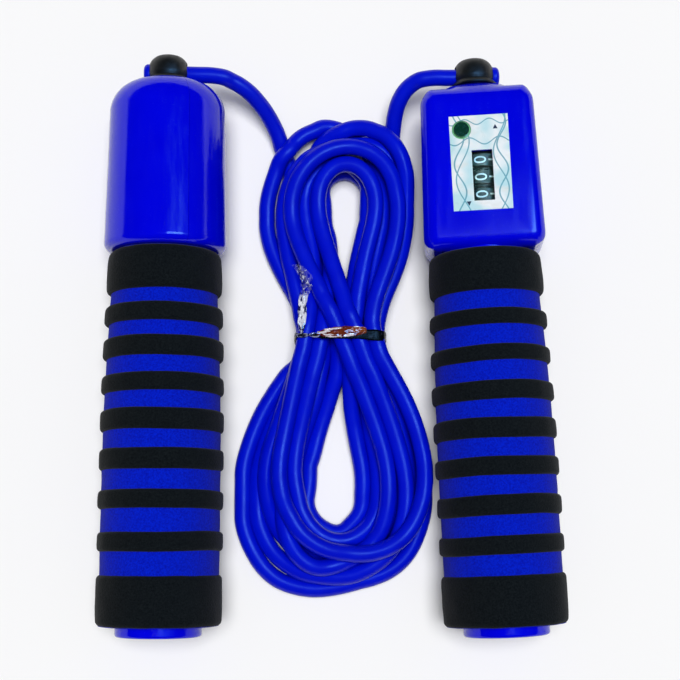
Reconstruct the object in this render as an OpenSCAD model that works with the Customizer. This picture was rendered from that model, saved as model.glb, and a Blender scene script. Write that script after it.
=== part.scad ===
// Jump rope with two foam handles, one of which counts the turns.
// Millimetres. The handles lie on the floor side by side, swivel ends towards +Y.
// In each handle's own frame the axis is z, counted from the head's top plane towards the
// end cap, y points out of the face and x runs across it.

/* [Layout] */
// Distance between the two handle axes at the head tops
axis_gap = 89.4; // [88:0.2:100]
// Angle that the counter handle's end cap swings outwards
counter_yaw = 2.5; // [1:0.5:6]
// Turn of the counter handle about its own axis
counter_roll = 6; // [0:1:10]
// Turn of the plain handle about its own axis, which sets where its seam shows
plain_roll = 64; // [0:1:90]

/* [Head] */
// Length of both heads
head_length = 50; // [49:0.5:56]
// Width of the counter head at its top
head_top_width = 31.8; // [31:0.2:34]
// Width of the counter head at its bottom
head_bottom_width = 34.4; // [33:0.2:35]
// Distance from the axis to the counter head's flat face
face_height = 14; // [13.6:0.1:15]
// Distance from the axis to the counter head's back
back_depth = 16; // [15:0.2:17]
// Radius along the long edges of the face
face_edge_radius = 4; // [3.5:0.1:5]
// Radius along the long edges of the back
back_edge_radius = 11; // [8:0.5:12]
// Radius of the head's top corners and edges
head_top_radius = 4.5; // [3.5:0.1:5]
// Radius of the head's bottom corners and edges
head_bottom_radius = 2.5; // [2.2:0.1:3]
// Radius of the plain head at its shoulder
barrel_top_radius = 16.6; // [16:0.1:17]
// Radius of the plain head at its bottom
barrel_bottom_radius = 17.4; // [17:0.1:17.4]
// Radius of the plain head's rounded shoulder
barrel_shoulder_radius = 9; // [7:0.5:10]
// Wall thickness of the head shells
head_wall = 1.6; // [1.4:0.1:2]
// Gap that shows as the seam between two shells
seam_gap = 0.1; // [0.06:0.02:0.3]
// Length of the bearing boss inside the head's top
boss_length = 5; // [4:0.5:6]

/* [Grip] */
// Length of the foam grip
grip_length = 104.5; // [98:0.5:120]
// Outer radius of the core tube under the foam
core_radius = 12; // [11:0.25:12.5]
// Wall thickness of the core tube
core_wall = 1.8; // [1.2:0.1:2.4]
// Length of the wide black band next to the head
top_band = 12.5; // [10:0.5:16]
// Length of the wide black band at the free end
end_band = 14; // [10:0.5:18]
// Length of one narrow black ring
ring_width = 5.4; // [4.5:0.1:6]
// Number of narrow black rings
ring_count = 7; // [5:1:8]
// Radius of the rings next to the head
ring_top_radius = 16.1; // [15.5:0.1:16.6]
// Radius of the rings towards the free end
ring_end_radius = 17.4; // [17:0.1:18]
// Depth of the first groove below its rings
groove_top_depth = 1.7; // [1:0.1:2]
// Depth of the last groove below its rings
groove_end_depth = 0.9; // [0.5:0.1:1.4]
// Rounding of each black ring's edges
ring_edge = 0.9; // [0.5:0.1:1.2]
// How much the plain grip's grooves widen from first to last, each way from the mean
plain_groove_spread = 1.3; // [0:0.1:2]
// How much the counter grip's grooves widen from first to last, each way from the mean
counter_groove_spread = 0.3; // [0:0.1:2]

/* [End cap] */
// Radius of the end cap's disc
end_cap_radius = 12; // [11:0.25:13]
// Thickness of the end cap's disc
end_cap_thickness = 2.9; // [2:0.1:4]
// Length of the end cap's spigot inside the tube
spigot_length = 8; // [5:0.5:15]

/* [Swivel] */
// Radius of the swivel cap's dome
cap_radius = 5.8; // [5.6:0.1:6.5]
// Radius of the swivel cap's skirt
cap_skirt_radius = 6.8; // [6.4:0.1:7.4]
// Height of the swivel cap's skirt
cap_skirt_height = 1.7; // [1.2:0.1:2.2]
// Gap between the swivel cap and the head's top
cap_gap = 0.3; // [0.2:0.05:0.5]
// Distance from the head's top plane to the rope in the cap
rope_rise = 3.4; // [3.4:0.1:3.6]
// Radius of the swivel shaft in its bearing
shaft_radius = 2; // [1.8:0.1:2.4]
// Radius of the swivel shaft's thin journal
journal_radius = 0.8; // [0.7:0.05:0.85]
// Thickness of the retaining clip
clip_thickness = 0.6; // [0.5:0.1:0.8]
// Radial clearance of every turning fit
running_clearance = 0.05; // [0.03:0.01:0.08]

/* [Counter] */
// Width of the label plate
label_width = 16.6; // [16:0.2:18]
// Length of the label plate
label_length = 27.4; // [27:0.2:30]
// Thickness of the label plate
label_thickness = 0.4; // [0.3:0.05:0.5]
// Distance from the head's top to the label plate
label_start = 12.3; // [12:0.1:12.6]
// Width of the number window
window_width = 5.8; // [5:0.2:6.4]
// Length of the number window
window_length = 14.6; // [14:0.2:15]
// Offset of the number window across the label
window_x = 0.5; // [0.3:0.1:0.8]
// Distance from the head's top to the window's centre
window_station = 29.7; // [29.5:0.1:30]
// Radius of the number wheels
wheel_radius = 6.5; // [6.2:0.1:6.6]
// Distance from one number wheel to the next
wheel_pitch = 5; // [4.9:0.05:5.1]
// Width of a number wheel's rim
wheel_rim = 3.6; // [3.4:0.1:3.7]
// Depth of the number wheels' tops below the face
wheel_depth = 2; // [2:0.1:2.4]
// Radius of the number axle
number_axle_radius = 1; // [0.9:0.05:1.1]
// Radius of the idler's and the carry pinions' axles
small_axle_radius = 0.6; // [0.5:0.05:0.65]
// Module of the drive gears
gear_module = 0.4; // [0.39:0.01:0.41]
// Module of the carry gears
carry_module = 0.54; // [0.53:0.01:0.55]
// Thickness of the frame's plates and rails
frame_thickness = 1.2; // [1:0.1:1.4]
// Radius of the reset button's head
button_radius = 2.15; // [2:0.05:2.3]
// How far the reset button stands above the face
button_rise = 0.8; // [0.5:0.1:1]
// Travel of the reset button
button_travel = 1.5; // [1:0.1:1.5]
// Offset of the reset button across the label
button_x = -4.9; // [-5.1:0.1:-4.7]
// Distance from the head's top to the reset button
button_station = 16.3; // [16.1:0.1:16.4]

/* [Rope] */
// Diameter of the rope
rope_diameter = 4.8; // [4.4:0.1:4.8]
// Height of the hank above the floor
hank_height = 14; // [12:0.5:14.5]
// Width of the hank at its tied waist
waist_width = 25.6; // [24:0.1:28]
// Width of the twist tie along the rope
tie_width = 4.5; // [3:0.5:6]
// Thickness of the twist tie
tie_thickness = 0.4; // [0.3:0.05:0.6]

/* [Hidden] */
$fn = 64;
eps = 0.01;
far = 60;

blue_plastic = [0.02, 0.05, 0.85];
blue_foam = [0.03, 0.12, 0.75];
black_foam = [0.06, 0.07, 0.07];
black_plastic = [0.05, 0.05, 0.05];
steel = [0.75, 0.76, 0.78];
white_plastic = [0.92, 0.93, 0.92];
wheel_green = [0.05, 0.2, 0.16];
button_green = [0.05, 0.35, 0.15];

// --- where the handles lie ---
axis_height = max(ring_end_radius, barrel_bottom_radius);
handle_length = head_length + grip_length + end_cap_thickness;
cap_rise = cap_gap + cap_skirt_height + cap_radius;
band_end = head_length + grip_length;
total_width = axis_height + axis_gap + band_end * sin(counter_yaw) + ring_end_radius * cos(counter_yaw);
reach = max(handle_length, handle_length * cos(counter_yaw) + end_cap_radius * sin(counter_yaw));
plain_x = axis_height - total_width / 2;
counter_x = plain_x + axis_gap;
head_top_y = (reach - cap_rise) / 2;

// --- the head's derived sizes ---
taper = atan((head_bottom_width - head_top_width) / 2 / head_length);
bore_radius = shaft_radius + running_clearance;
boss_radius = bore_radius + 2.2;
peg_radius = 1;
peg_clearance = 0.05;
peg_length = 2;
peg_boss_radius = 2.2;
peg_x = 13.8;
top_peg_station = 9.6;
bottom_peg_station = head_length - 6.5;
flange_radius = core_radius + 1.2;
flange_flat = face_height - head_bottom_radius;
flange_thickness = 2;

// --- grip ---
seat_radius = core_radius + 1.8;
groove_sum = grip_length - top_band - end_band - ring_count * ring_width;
groove_mean = groove_sum / (ring_count + 1);
swell_share = 0.6;

// --- counter mechanism, centres in the handle's x and y ---
drive_teeth = 8;
idler_big_teeth = 20;
idler_small_teeth = 8;
drum_teeth = 32;
carry_ring_teeth = 20;
carry_pinion_teeth = 8;
drum_centre = [window_x, face_height - wheel_depth - wheel_radius];
to_drive = (drive_teeth + idler_big_teeth) * gear_module / 2;
to_drum = (idler_small_teeth + drum_teeth) * gear_module / 2;
idler_centre = crossing(drum_centre, to_drive, to_drum);
to_carry = (carry_ring_teeth + carry_pinion_teeth) * carry_module / 2;
carry_centre = drum_centre - [0, to_carry];
drive_line = atan2(idler_centre.y, idler_centre.x);
drum_line = atan2(drum_centre.y - idler_centre.y, drum_centre.x - idler_centre.x);
gear_width = 2;
rim_gap = wheel_pitch - wheel_rim;
disc_width = 0.6;
carry_disc_radius = to_carry - (carry_pinion_teeth / 2 + 0.75) * carry_module - 0.15;
first_rim = window_station - wheel_pitch - wheel_rim / 2;
drum_gear_station = first_rim - rim_gap - gear_width;
idler_station = drum_gear_station - 1 - gear_width;
pinion_width = gear_width + 0.2;
frame_top = idler_station - 3 - frame_thickness;
frame_bottom = window_station + wheel_pitch + wheel_rim / 2 + 1.9;
frame_half_width = 11.4;
frame_low = -4.6;
frame_high = 9.4;
rail_height = 3;
rib_thickness = frame_thickness;
journal_end = idler_station + pinion_width + 0.4;

// --- reset ---
button_collar = button_radius + 0.45;
button_hole = button_collar + 0.1;
button_flange = button_hole + 0.45;
inner_face = face_height - head_wall;
flange_top = inner_face - 0.2;
flange_height = 1;
stem_radius = 1.1;
shelf_top = 5;
bar_top = 3.2;
bar_offset = 5.3;
bar_left = button_x - bar_offset;
bar_thickness = 1;
bar_wall = 1.4;
finger_width = 1;
finger_thickness = 1;
arm_width = 2.6;
finger_reach = 0.4;
spring_radius = 1.75;
spring_wire = 0.25;
spring_turns = 5;

// --- label ---
label_sink = label_thickness - 0.05;
lens_thickness = 0.8;
lens_margin = 0.6;
label_clearance = 0.1;

// --- rope ---
rope_radius = rope_diameter / 2;
rope_fit = 0.1;
tube_sides = 10;
cap_rope_y = head_top_y + rope_rise;
rope_height = axis_height;

// Hand-chosen route of each lead, from its end in the cap to the hank
plain_lead_points = [
    [-55.2, 78.3, 17.4], [-48, 78.3, 17.4], [-40.5, 78.3, 17.4], [-34, 78.2, 16.9],
    [-28.6, 77, 15.8], [-23.8, 74.4, 13.6], [-19.6, 71, 10.4], [-15.9, 67, 6.8],
    [-13, 62.8, 4], [-11.3, 57.8, 2.6]
];
counter_lead_points = [
    [48.6, 78.7, 17.4], [41.2, 78.4, 17.4], [34, 78.3, 17.3], [28.8, 78.3, 17.1],
    [24, 77.3, 16.4], [20.6, 74.4, 14.9], [18.6, 70.2, 12.2], [17.6, 65.4, 8.4],
    [17, 60, 4.6], [16.4, 54, 2.8]
];

// Hank outline: two round lobes, a narrow waist and a hole in each lobe
upper_lobe = [0.6, 42.4];
upper_radius = 22.2;
lower_lobe = [0.7, -42.4];
lower_radius = 27.8;
waist_x = 2.3;
upper_hole = [4.9, 33];
upper_hole_size = [7, 34];
lower_hole = [0.8, -31];
lower_hole_size = [11.6, 40];

// Third corner of the gear triangle: the axis, the drum and the idler
function crossing(drum, near, away) =
    let (
        span = norm(drum),
        along = (near * near - away * away + span * span) / (2 * span),
        across = sqrt(near * near - along * along),
        unit = drum / span
    )
    [unit.x * along + unit.y * across, unit.y * along - unit.x * across];

// Start of narrow ring i, or of the end band when i is ring_count
function ring_start(i, spread) =
    head_length + top_band + i * ring_width + (i + 1) * (groove_mean - spread)
    + spread * i * (i + 1) / ring_count;
function swell(station) = sin(90 * min(1, max(0, station - head_length) / (swell_share * grip_length)));
function ring_radius(station) = ring_top_radius + (ring_end_radius - ring_top_radius) * swell(station);
function groove_radius(station) =
    ring_radius(station) - groove_top_depth + (groove_top_depth - groove_end_depth) * swell(station);

// One side of an involute tooth as [radius, half angle] pairs
addendum = 0.75;
dedendum = 1.1;
pressure = 25;
backlash = 0.1;
function involute(angle) = tan(angle) - angle * PI / 180;
function tooth_side(teeth, module_size) =
    let (
        pitch_radius = teeth * module_size / 2,
        base = pitch_radius * cos(pressure),
        tip = pitch_radius + addendum * module_size,
        root = pitch_radius - dedendum * module_size,
        start = max(base, root),
        half = (PI / (2 * teeth) - backlash / (2 * pitch_radius) + involute(pressure)) * 180 / PI
    )
    [
        [root, half - (root > base ? involute(acos(base / root)) * 180 / PI : 0)],
        for (k = [0 : 3])
            let (r = start + (tip - start) * k / 3)
            [r, half - involute(acos(min(1, base / r))) * 180 / PI]
    ];
function polar(radius, angle) = [radius * cos(angle), radius * sin(angle)];
function gear_points(teeth, module_size) =
    let (side = tooth_side(teeth, module_size), last = len(side) - 1)
    [
        for (tooth = [0 : teeth - 1])
            let (centre = 360 * tooth / teeth)
            each concat(
                [for (k = [0 : last]) polar(side[k][0], centre - side[k][1])],
                [for (k = [0 : last]) polar(side[last - k][0], centre + side[last - k][1])]
            )
    ];

module gear(teeth, module_size, width, phase) {
    rotate([0, 0, phase])
        linear_extrude(width)
            polygon(gear_points(teeth, module_size));
}

module disc(radius, start, end, centre = [0, 0]) {
    translate([centre.x, centre.y, start])
        cylinder(r = radius, h = end - start);
}

// --- a tube swept along points: rings of the cord solids and of the spring ---
function unit(v) = v / norm(v);
function ends_of(points, i) =
    unit(points[min(i + 1, len(points) - 1)] - points[max(i - 1, 0)]);
function between(a, b, c, d, t) =
    ((2 * b) + (c - a) * t + (2 * a - 5 * b + 4 * c - d) * t * t + (3 * b - a - 3 * c + d) * t * t * t) / 2;
function smooth(points, parts) =
    let (last = len(points) - 1)
    [
        for (i = [0 : last - 1], k = [0 : parts - 1])
            between(points[max(i - 1, 0)], points[i], points[i + 1], points[min(i + 2, last)], k / parts),
        points[last]
    ];

module tube(points, radius, sides, away) {
    rings = len(points);
    vertices = [
        for (i = [0 : rings - 1])
            let (along = ends_of(points, i), across = unit(cross(away, along)), up = cross(along, across))
            for (k = [0 : sides - 1])
                points[i] + radius * (cos(360 * k / sides) * across + sin(360 * k / sides) * up)
    ];
    walls = [
        for (i = [0 : rings - 2], k = [0 : sides - 1])
            let (a = i * sides + k, b = i * sides + (k + 1) % sides)
            each [[a, a + sides, b + sides], [a, b + sides, b]]
    ];
    near_end = [for (k = [0 : sides - 1]) k];
    far_end = [for (k = [sides - 1 : -1 : 0]) (rings - 1) * sides + k];
    polyhedron(vertices, concat([near_end], walls, [far_end]), convexity = 4);
}

// --- placing ---
module plain_swivel_frame() {
    translate([plain_x, head_top_y, axis_height])
        rotate([90, 0, 0])
            children();
}

module plain_frame() {
    plain_swivel_frame()
        rotate([0, 0, plain_roll])
            children();
}

module counter_swivel_frame() {
    translate([counter_x, head_top_y, axis_height])
        rotate([0, 0, counter_yaw])
            rotate([90, 0, 0])
                children();
}

module counter_frame_place() {
    counter_swivel_frame()
        rotate([0, 0, counter_roll])
            children();
}

module front_half() {
    intersection() {
        children();
        translate([-far / 2, seam_gap / 2, -eps])
            cube([far, far / 2, far]);
    }
}

module rear_half() {
    intersection() {
        children();
        translate([-far / 2, -far / 2 - seam_gap / 2, -eps])
            cube([far, far / 2, far]);
    }
}

// --- swivel: cap, shaft and clip, which stay with the rope ---
module swivel_cap() {
    dome_z = -cap_gap - cap_skirt_height;
    difference() {
        rotate_extrude()
            intersection() {
                union() {
                    translate([0, dome_z])
                        circle(r = cap_radius);
                    polygon([
                        [0, dome_z], [cap_radius - 0.1, dome_z],
                        [cap_skirt_radius, -cap_gap - 0.4], [cap_skirt_radius, -cap_gap], [0, -cap_gap]
                    ]);
                }
                translate([0, -cap_rise])
                    square([cap_skirt_radius, cap_rise - cap_gap]);
            }
        translate([0, 0, -rope_rise])
            rotate([0, 90, 0])
                cylinder(r = rope_radius + rope_fit, h = far, center = true);
        disc(shaft_head_radius, -cap_gap - shaft_head_thickness, 0);
    }
}
shaft_head_radius = 3.6;
shaft_head_thickness = rope_rise - rope_radius - rope_fit - cap_gap;
groove_depth = 0.4;
clip_station = boss_length + 0.15;
clip_radius = shaft_radius + 1.5;
shaft_step = clip_station + clip_thickness + 0.9;

module swivel_shaft(end) {
    difference() {
        union() {
            disc(shaft_head_radius, -cap_gap - shaft_head_thickness, -cap_gap);
            disc(shaft_radius, -cap_gap, shaft_step);
            disc(journal_radius, shaft_step, end);
        }
        difference() {
            disc(shaft_radius + 1, clip_station, clip_station + clip_thickness);
            disc(shaft_radius - groove_depth, clip_station, clip_station + clip_thickness);
        }
    }
}

module retaining_clip() {
    mouth = 2 * (shaft_radius - groove_depth) - 0.6;
    difference() {
        disc(clip_radius, clip_station, clip_station + clip_thickness);
        disc(shaft_radius - groove_depth, clip_station - 1, clip_station + 2);
        translate([0, -mouth / 2, clip_station - 1])
            cube([clip_radius + 1, mouth, 3]);
    }
}

// --- shared insides of both heads ---
module head_bores() {
    disc(bore_radius, -1, boss_length + 1);
    disc(core_radius, head_length - head_wall - flange_thickness, head_length + 1);
}

module pegs() {
    for (side = [-1, 1], station = [top_peg_station, bottom_peg_station])
        translate([side * peg_x, seam_gap / 2, station])
            rotate([90, 0, 0])
                children();
}

module peg_bosses(front) {
    pegs()
        translate([0, 0, front ? -far / 2 : 0])
            cylinder(r = peg_boss_radius, h = far / 2);
}

module peg_pins() {
    pegs()
        translate([0, 0, -peg_length])
            cylinder(r = peg_radius, h = peg_length + seam_gap + 1);
}

module peg_sockets() {
    pegs()
        translate([0, 0, -peg_length - 0.3])
            cylinder(r = peg_radius + peg_clearance, h = peg_length + 0.3 + eps);
}

// --- plain head: a round barrel in two half shells ---
module barrel_profile(inset) {
    top = barrel_top_radius;
    bottom = barrel_bottom_radius;
    shoulder = barrel_shoulder_radius;
    corner = head_bottom_radius;
    intersection() {
        union() {
            polygon([
                [0, inset], [top - shoulder, inset], [top - inset, shoulder],
                [bottom - inset, head_length - corner], [bottom - corner, head_length - inset],
                [0, head_length - inset]
            ]);
            translate([top - shoulder, shoulder])
                circle(r = shoulder - inset);
            translate([bottom - corner, head_length - corner])
                circle(r = corner - inset);
        }
        square([far, head_length]);
    }
}

module barrel(inset) {
    rotate_extrude()
        barrel_profile(inset);
}

module barrel_shell(front) {
    difference() {
        union() {
            difference() {
                barrel(0);
                barrel(head_wall);
            }
            disc(boss_radius, head_wall / 2, boss_length);
            intersection() {
                barrel(head_wall / 2);
                peg_bosses(front);
            }
        }
        head_bores();
    }
}

// --- counter head: a rounded block with a flat face, in two shells ---
module block_section(inset) {
    half = head_top_width / 2 - inset;
    high = face_height - inset;
    low = inset - back_depth;
    face_edge = face_edge_radius - inset;
    back_edge = back_edge_radius - inset;
    inner = far / 8;
    translate([-inner, 0])
        square([inner + half - face_edge, high]);
    translate([-inner, low])
        square([inner + half - back_edge, -low]);
    translate([-inner, low + back_edge])
        square([inner + half, high - face_edge - low - back_edge]);
    translate([half - face_edge, high - face_edge])
        circle(r = face_edge);
    translate([half - back_edge, low + back_edge])
        circle(r = back_edge);
}

// Outline with rounded corners at the head's top end, running on past its bottom end
module top_outline(low, high, inset, low_corner, high_corner) {
    translate([low + low_corner, inset])
        square([high - high_corner - low - low_corner, far]);
    translate([low, inset + low_corner])
        square([(high - low) / 2, far]);
    translate([(low + high) / 2, inset + high_corner])
        square([(high - low) / 2, far]);
    translate([low + low_corner, inset + low_corner])
        circle(r = low_corner);
    translate([high - high_corner, inset + high_corner])
        circle(r = high_corner);
}

// Everything above the head's bottom, with its corners rounded where they are centred at low and high
module bottom_outline(low, high, inset) {
    corner = head_bottom_radius - inset;
    corner_station = head_length - head_bottom_radius;
    translate([-far, -far])
        square([2 * far, far + corner_station]);
    translate([low, corner_station - eps])
        square([high - low, corner + eps]);
    for (x = [low, high])
        translate([x, corner_station])
            circle(r = corner);
}

module block_half(inset) {
    half = head_top_width / 2 - inset;
    top_edge = head_top_radius - inset;
    corner_x = (head_top_width / 2 - head_bottom_radius
        + (head_length - head_bottom_radius) * sin(taper)) / cos(taper);
    intersection() {
        rotate([0, taper, 0])
            intersection() {
                translate([0, 0, -2])
                    linear_extrude(head_length + 4)
                        block_section(inset);
                rotate([90, 0, 0])
                    linear_extrude(far, center = true)
                        top_outline(-half, half, inset, top_edge, top_edge);
            }
        rotate([90, 0, 0])
            linear_extrude(far, center = true)
                bottom_outline(-corner_x, corner_x, inset);
    }
}

module block(inset) {
    intersection() {
        union() {
            block_half(inset);
            mirror([1, 0, 0])
                block_half(inset);
        }
        rotate([90, 0, 90])
            linear_extrude(far, center = true)
                intersection() {
                    top_outline(
                        inset - back_depth, face_height - inset, inset,
                        back_top_radius - inset, head_top_radius - inset
                    );
                    bottom_outline(head_bottom_radius - back_depth, face_height - head_bottom_radius, inset);
                }
    }
}
back_top_radius = 8;

module block_shell(front) {
    difference() {
        union() {
            difference() {
                block(0);
                block(head_wall);
            }
            disc(boss_radius, head_wall / 2, boss_length);
            intersection() {
                block(head_wall / 2);
                union() {
                    peg_bosses(front);
                    if (front)
                        frame_rests(frame_high, far / 2, frame_half_width - 2.4);
                    else
                        frame_rests(-far / 2, frame_low, 5);
                }
            }
        }
        head_bores();
    }
}

// Ribs of the shells that hold the counter frame's two plates
module frame_rests(low, high, offset) {
    for (side = [-1, 1], station = [frame_top, frame_bottom])
        translate([side * offset - 2, low, station])
            cube([4, high - low, rib_thickness]);
}

module label_cuts() {
    clear_width = label_width + 2 * label_clearance;
    clear_length = label_length + 2 * label_clearance;
    lens_width = window_width + 2 * lens_margin;
    lens_length = window_length + 2 * lens_margin;
    translate([-clear_width / 2, face_height - label_sink, label_start - label_clearance])
        cube([clear_width, 5, clear_length]);
    window_box(lens_width + 0.1, lens_length + 0.1, face_height - label_sink - lens_thickness, face_height);
    window_box(window_width, window_length, inner_face - 1, face_height);
    button_cylinder(button_hole, inner_face - 1, face_height + 1);
}

module window_box(width, length, low, high) {
    translate([window_x - width / 2, low, window_station - length / 2])
        cube([width, high - low, length]);
}

module button_cylinder(radius, low, high) {
    translate([button_x, high, button_station])
        rotate([90, 0, 0])
            cylinder(r = radius, h = high - low);
}

module label_plate_shape() {
    difference() {
        translate([-label_width / 2, face_height - label_sink, label_start])
            cube([label_width, label_thickness, label_length]);
        window_box(window_width, window_length, face_height - 1, face_height + 1);
        button_cylinder(button_hole, face_height - 1, face_height + 1);
    }
}

module window_lens_shape() {
    low = face_height - label_sink - lens_thickness;
    window_box(window_width + 2 * lens_margin, window_length + 2 * lens_margin, low, low + lens_thickness);
}

// --- core tube, foam and end cap ---
module core_tube() {
    start = head_length - head_wall - flange_thickness;
    difference() {
        union() {
            disc(core_radius, start, band_end);
            intersection() {
                disc(flange_radius, start, start + flange_thickness);
                translate([-far / 2, flange_flat - far, 0])
                    cube([far, far, far]);
            }
        }
        disc(core_radius - core_wall, start - 1, band_end + 1);
    }
}

module rounded_ring(inner, outer, start, end) {
    rotate_extrude() {
        translate([inner, start])
            square([outer - ring_edge - inner, end - start]);
        translate([inner, start + ring_edge])
            square([outer - inner, end - start - 2 * ring_edge]);
        for (station = [start + ring_edge, end - ring_edge])
            translate([outer - ring_edge, station])
                circle(r = ring_edge, $fn = 32);
    }
}

module foam_rings(spread) {
    rounded_ring(seat_radius, ring_top_radius, head_length, head_length + top_band);
    for (i = [0 : ring_count - 1])
        let (start = ring_start(i, spread))
            rounded_ring(seat_radius, ring_radius(start + ring_width / 2), start, start + ring_width);
    rounded_ring(seat_radius, ring_end_radius, band_end - end_band, band_end);
}

module foam_sleeve(spread) {
    difference() {
        union() {
            disc(seat_radius, head_length, band_end);
            for (i = [0 : ring_count])
                let (
                    end = ring_start(i, spread),
                    start = i == 0 ? head_length + top_band : ring_start(i - 1, spread) + ring_width
                )
                    disc(groove_radius((start + end) / 2), start, end);
        }
        disc(core_radius, head_length - 1, band_end + 1);
    }
}

module end_cap() {
    edge = 0.8;
    spigot_radius = core_radius - core_wall - 0.02;
    rotate_extrude() {
        square_from(0, end_cap_radius - edge, band_end, handle_length);
        square_from(0, end_cap_radius, band_end, handle_length - edge);
        translate([end_cap_radius - edge, handle_length - edge])
            circle(r = edge, $fn = 32);
        square_from(spigot_radius - 1.6, spigot_radius, band_end - spigot_length, band_end + eps);
    }
}

module square_from(x0, x1, y0, y1) {
    translate([x0, y0])
        square([x1 - x0, y1 - y0]);
}

// --- counter mechanism ---
module in_drum() {
    translate([drum_centre.x, drum_centre.y, 0])
        children();
}

module wheel_body(start) {
    disc(wheel_radius, start, start + 1);
    difference() {
        disc(wheel_radius, start, start + wheel_rim);
        disc(wheel_radius - 1.2, start + 1, start + wheel_rim + 1);
    }
    disc(number_axle_radius + 1.2, start, start + wheel_rim);
}

// Carry disc with the two notches that pass a step on to the next wheel
module carry_disc(start) {
    difference() {
        disc(carry_disc_radius, start, start + disc_width);
        for (turn = [-9, 9])
            rotate([0, 0, turn + 150])
                translate([carry_disc_radius - 0.8, -0.25, start - eps])
                    cube([2, 0.5, disc_width + 1]);
    }
}

module wheel_bore() {
    disc(number_axle_radius + running_clearance, 0, far);
}

module number_wheel(index) {
    start = first_rim + index * wheel_pitch;
    in_drum()
        difference() {
            union() {
                wheel_body(start);
                if (index == 0) {
                    translate([0, 0, drum_gear_station])
                        gear(drum_teeth, gear_module, gear_width, drum_line + 180 + 180 / drum_teeth);
                    disc(number_axle_radius + 1.2, drum_gear_station, start + 1);
                } else {
                    translate([0, 0, start - disc_width])
                        gear(carry_ring_teeth, carry_module, disc_width + eps, -90);
                }
                if (index < 2)
                    carry_disc(start + wheel_rim);
            }
            wheel_bore();
        }
}

module drive_pinion_shape() {
    translate([0, 0, idler_station - 0.1])
        difference() {
            gear(drive_teeth, gear_module, pinion_width, drive_line);
            disc(journal_radius + 0.01, -1, pinion_width + 1);
        }
}

module idler_gear_shape() {
    top = drum_gear_station + gear_width + 0.1;
    translate([idler_centre.x, idler_centre.y, 0])
        difference() {
            union() {
                translate([0, 0, idler_station])
                    gear(idler_big_teeth, gear_module, gear_width, drive_line + 180 + 180 / idler_big_teeth);
                translate([0, 0, idler_station + gear_width - eps])
                    gear(idler_small_teeth, gear_module, top - idler_station - gear_width + eps, drum_line);
            }
            disc(small_axle_radius + running_clearance, 0, far);
        }
}

module carry_pinion_shape(index) {
    start = first_rim + index * wheel_pitch + wheel_rim + 0.15;
    translate([carry_centre.x, carry_centre.y, 0])
        difference() {
            translate([0, 0, start])
                gear(carry_pinion_teeth, carry_module, rim_gap - 0.3, 90 + 180 / carry_pinion_teeth);
            disc(small_axle_radius + running_clearance, 0, far);
        }
}

module frame_plate(station) {
    translate([-frame_half_width, frame_low, station])
        cube([2 * frame_half_width, frame_high - frame_low, frame_thickness]);
}

module counter_frame_shape() {
    shelf_end = button_station + 2.6;
    difference() {
        union() {
            frame_plate(frame_top);
            frame_plate(frame_bottom);
            for (side = [-1, 1])
                translate([side * (frame_half_width - frame_thickness / 2) - frame_thickness / 2, frame_low, frame_top])
                    cube([frame_thickness, rail_height, frame_bottom - frame_top + eps]);
            translate([button_x - 2.5, shelf_top - frame_thickness, frame_top])
                cube([5, frame_thickness, shelf_end - frame_top]);
        }
        disc(journal_radius + running_clearance, 0, frame_top + 5);
        disc(number_axle_radius, 0, far, drum_centre);
        disc(small_axle_radius, 0, frame_top + 5, idler_centre);
        disc(small_axle_radius, frame_bottom - 5, far, carry_centre);
        button_cylinder(stem_radius + 0.15, shelf_top - 3, shelf_top + 1);
    }
}

module reset_button_shape() {
    button_cylinder(button_radius, flange_top - 1, face_height + button_rise);
    button_cylinder(button_collar, flange_top - 1, face_height - 0.3);
    button_cylinder(button_flange, flange_top - flange_height, flange_top);
    button_cylinder(stem_radius, bar_top, flange_top);
}

module reset_bar_shape() {
    bar_end = first_rim + 2 * wheel_pitch;
    translate([bar_left, bar_top - bar_thickness, button_station - arm_width / 2])
        cube([button_x + stem_radius - bar_left, bar_thickness, arm_width]);
    translate([bar_left, bar_top - bar_thickness, button_station - arm_width / 2])
        cube([
            bar_wall, shelf_top + finger_thickness - bar_top + bar_thickness,
            bar_end - button_station + arm_width / 2
        ]);
    for (index = [0, 1])
        translate([
            bar_left, shelf_top,
            first_rim + index * wheel_pitch + wheel_rim + (rim_gap - finger_width) / 2
        ])
            cube([drum_centre.x - wheel_radius + finger_reach - bar_left, finger_thickness, finger_width]);
}

module reset_spring_shape() {
    low = shelf_top + spring_wire;
    high = flange_top - flange_height - spring_wire;
    steps = 10;
    points = [
        for (i = [0 : spring_turns * steps])
            [
                button_x + spring_radius * cos(360 * i / steps),
                low + (high - low) * i / (spring_turns * steps),
                button_station + spring_radius * sin(360 * i / steps)
            ]
    ];
    tube(points, spring_wire, 6, [0, 1, 0]);
}

// --- rope ---
module lead(points) {
    tube(smooth(points, 3), rope_radius, tube_sides, [0, 0, 1]);
}

module slot(centre, size) {
    run = size.y - size.x;
    for (side = [-1, 1])
        translate([centre.x, centre.y + side * run / 2])
            circle(d = size.x);
    translate([centre.x - size.x / 2, centre.y - run / 2])
        square([size.x, run]);
}

module hank_outline() {
    half = waist_width / 2;
    difference() {
        union() {
            translate(upper_lobe)
                circle(r = upper_radius);
            translate(lower_lobe)
                circle(r = lower_radius);
            polygon([
                [upper_lobe.x - 19.6, 32], [waist_x - half, 6], [waist_x - half, -2],
                [lower_lobe.x - 25.4, -30], [lower_lobe.x + 25.4, -30],
                [waist_x + half, -2], [waist_x + half, 6], [upper_lobe.x + 19.6, 32]
            ]);
        }
        slot(upper_hole, upper_hole_size);
        slot(lower_hole, lower_hole_size);
    }
}

module hank() {
    translate([0, 0, tie_thickness])
        linear_extrude(hank_height - tie_thickness)
            hank_outline();
}

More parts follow.
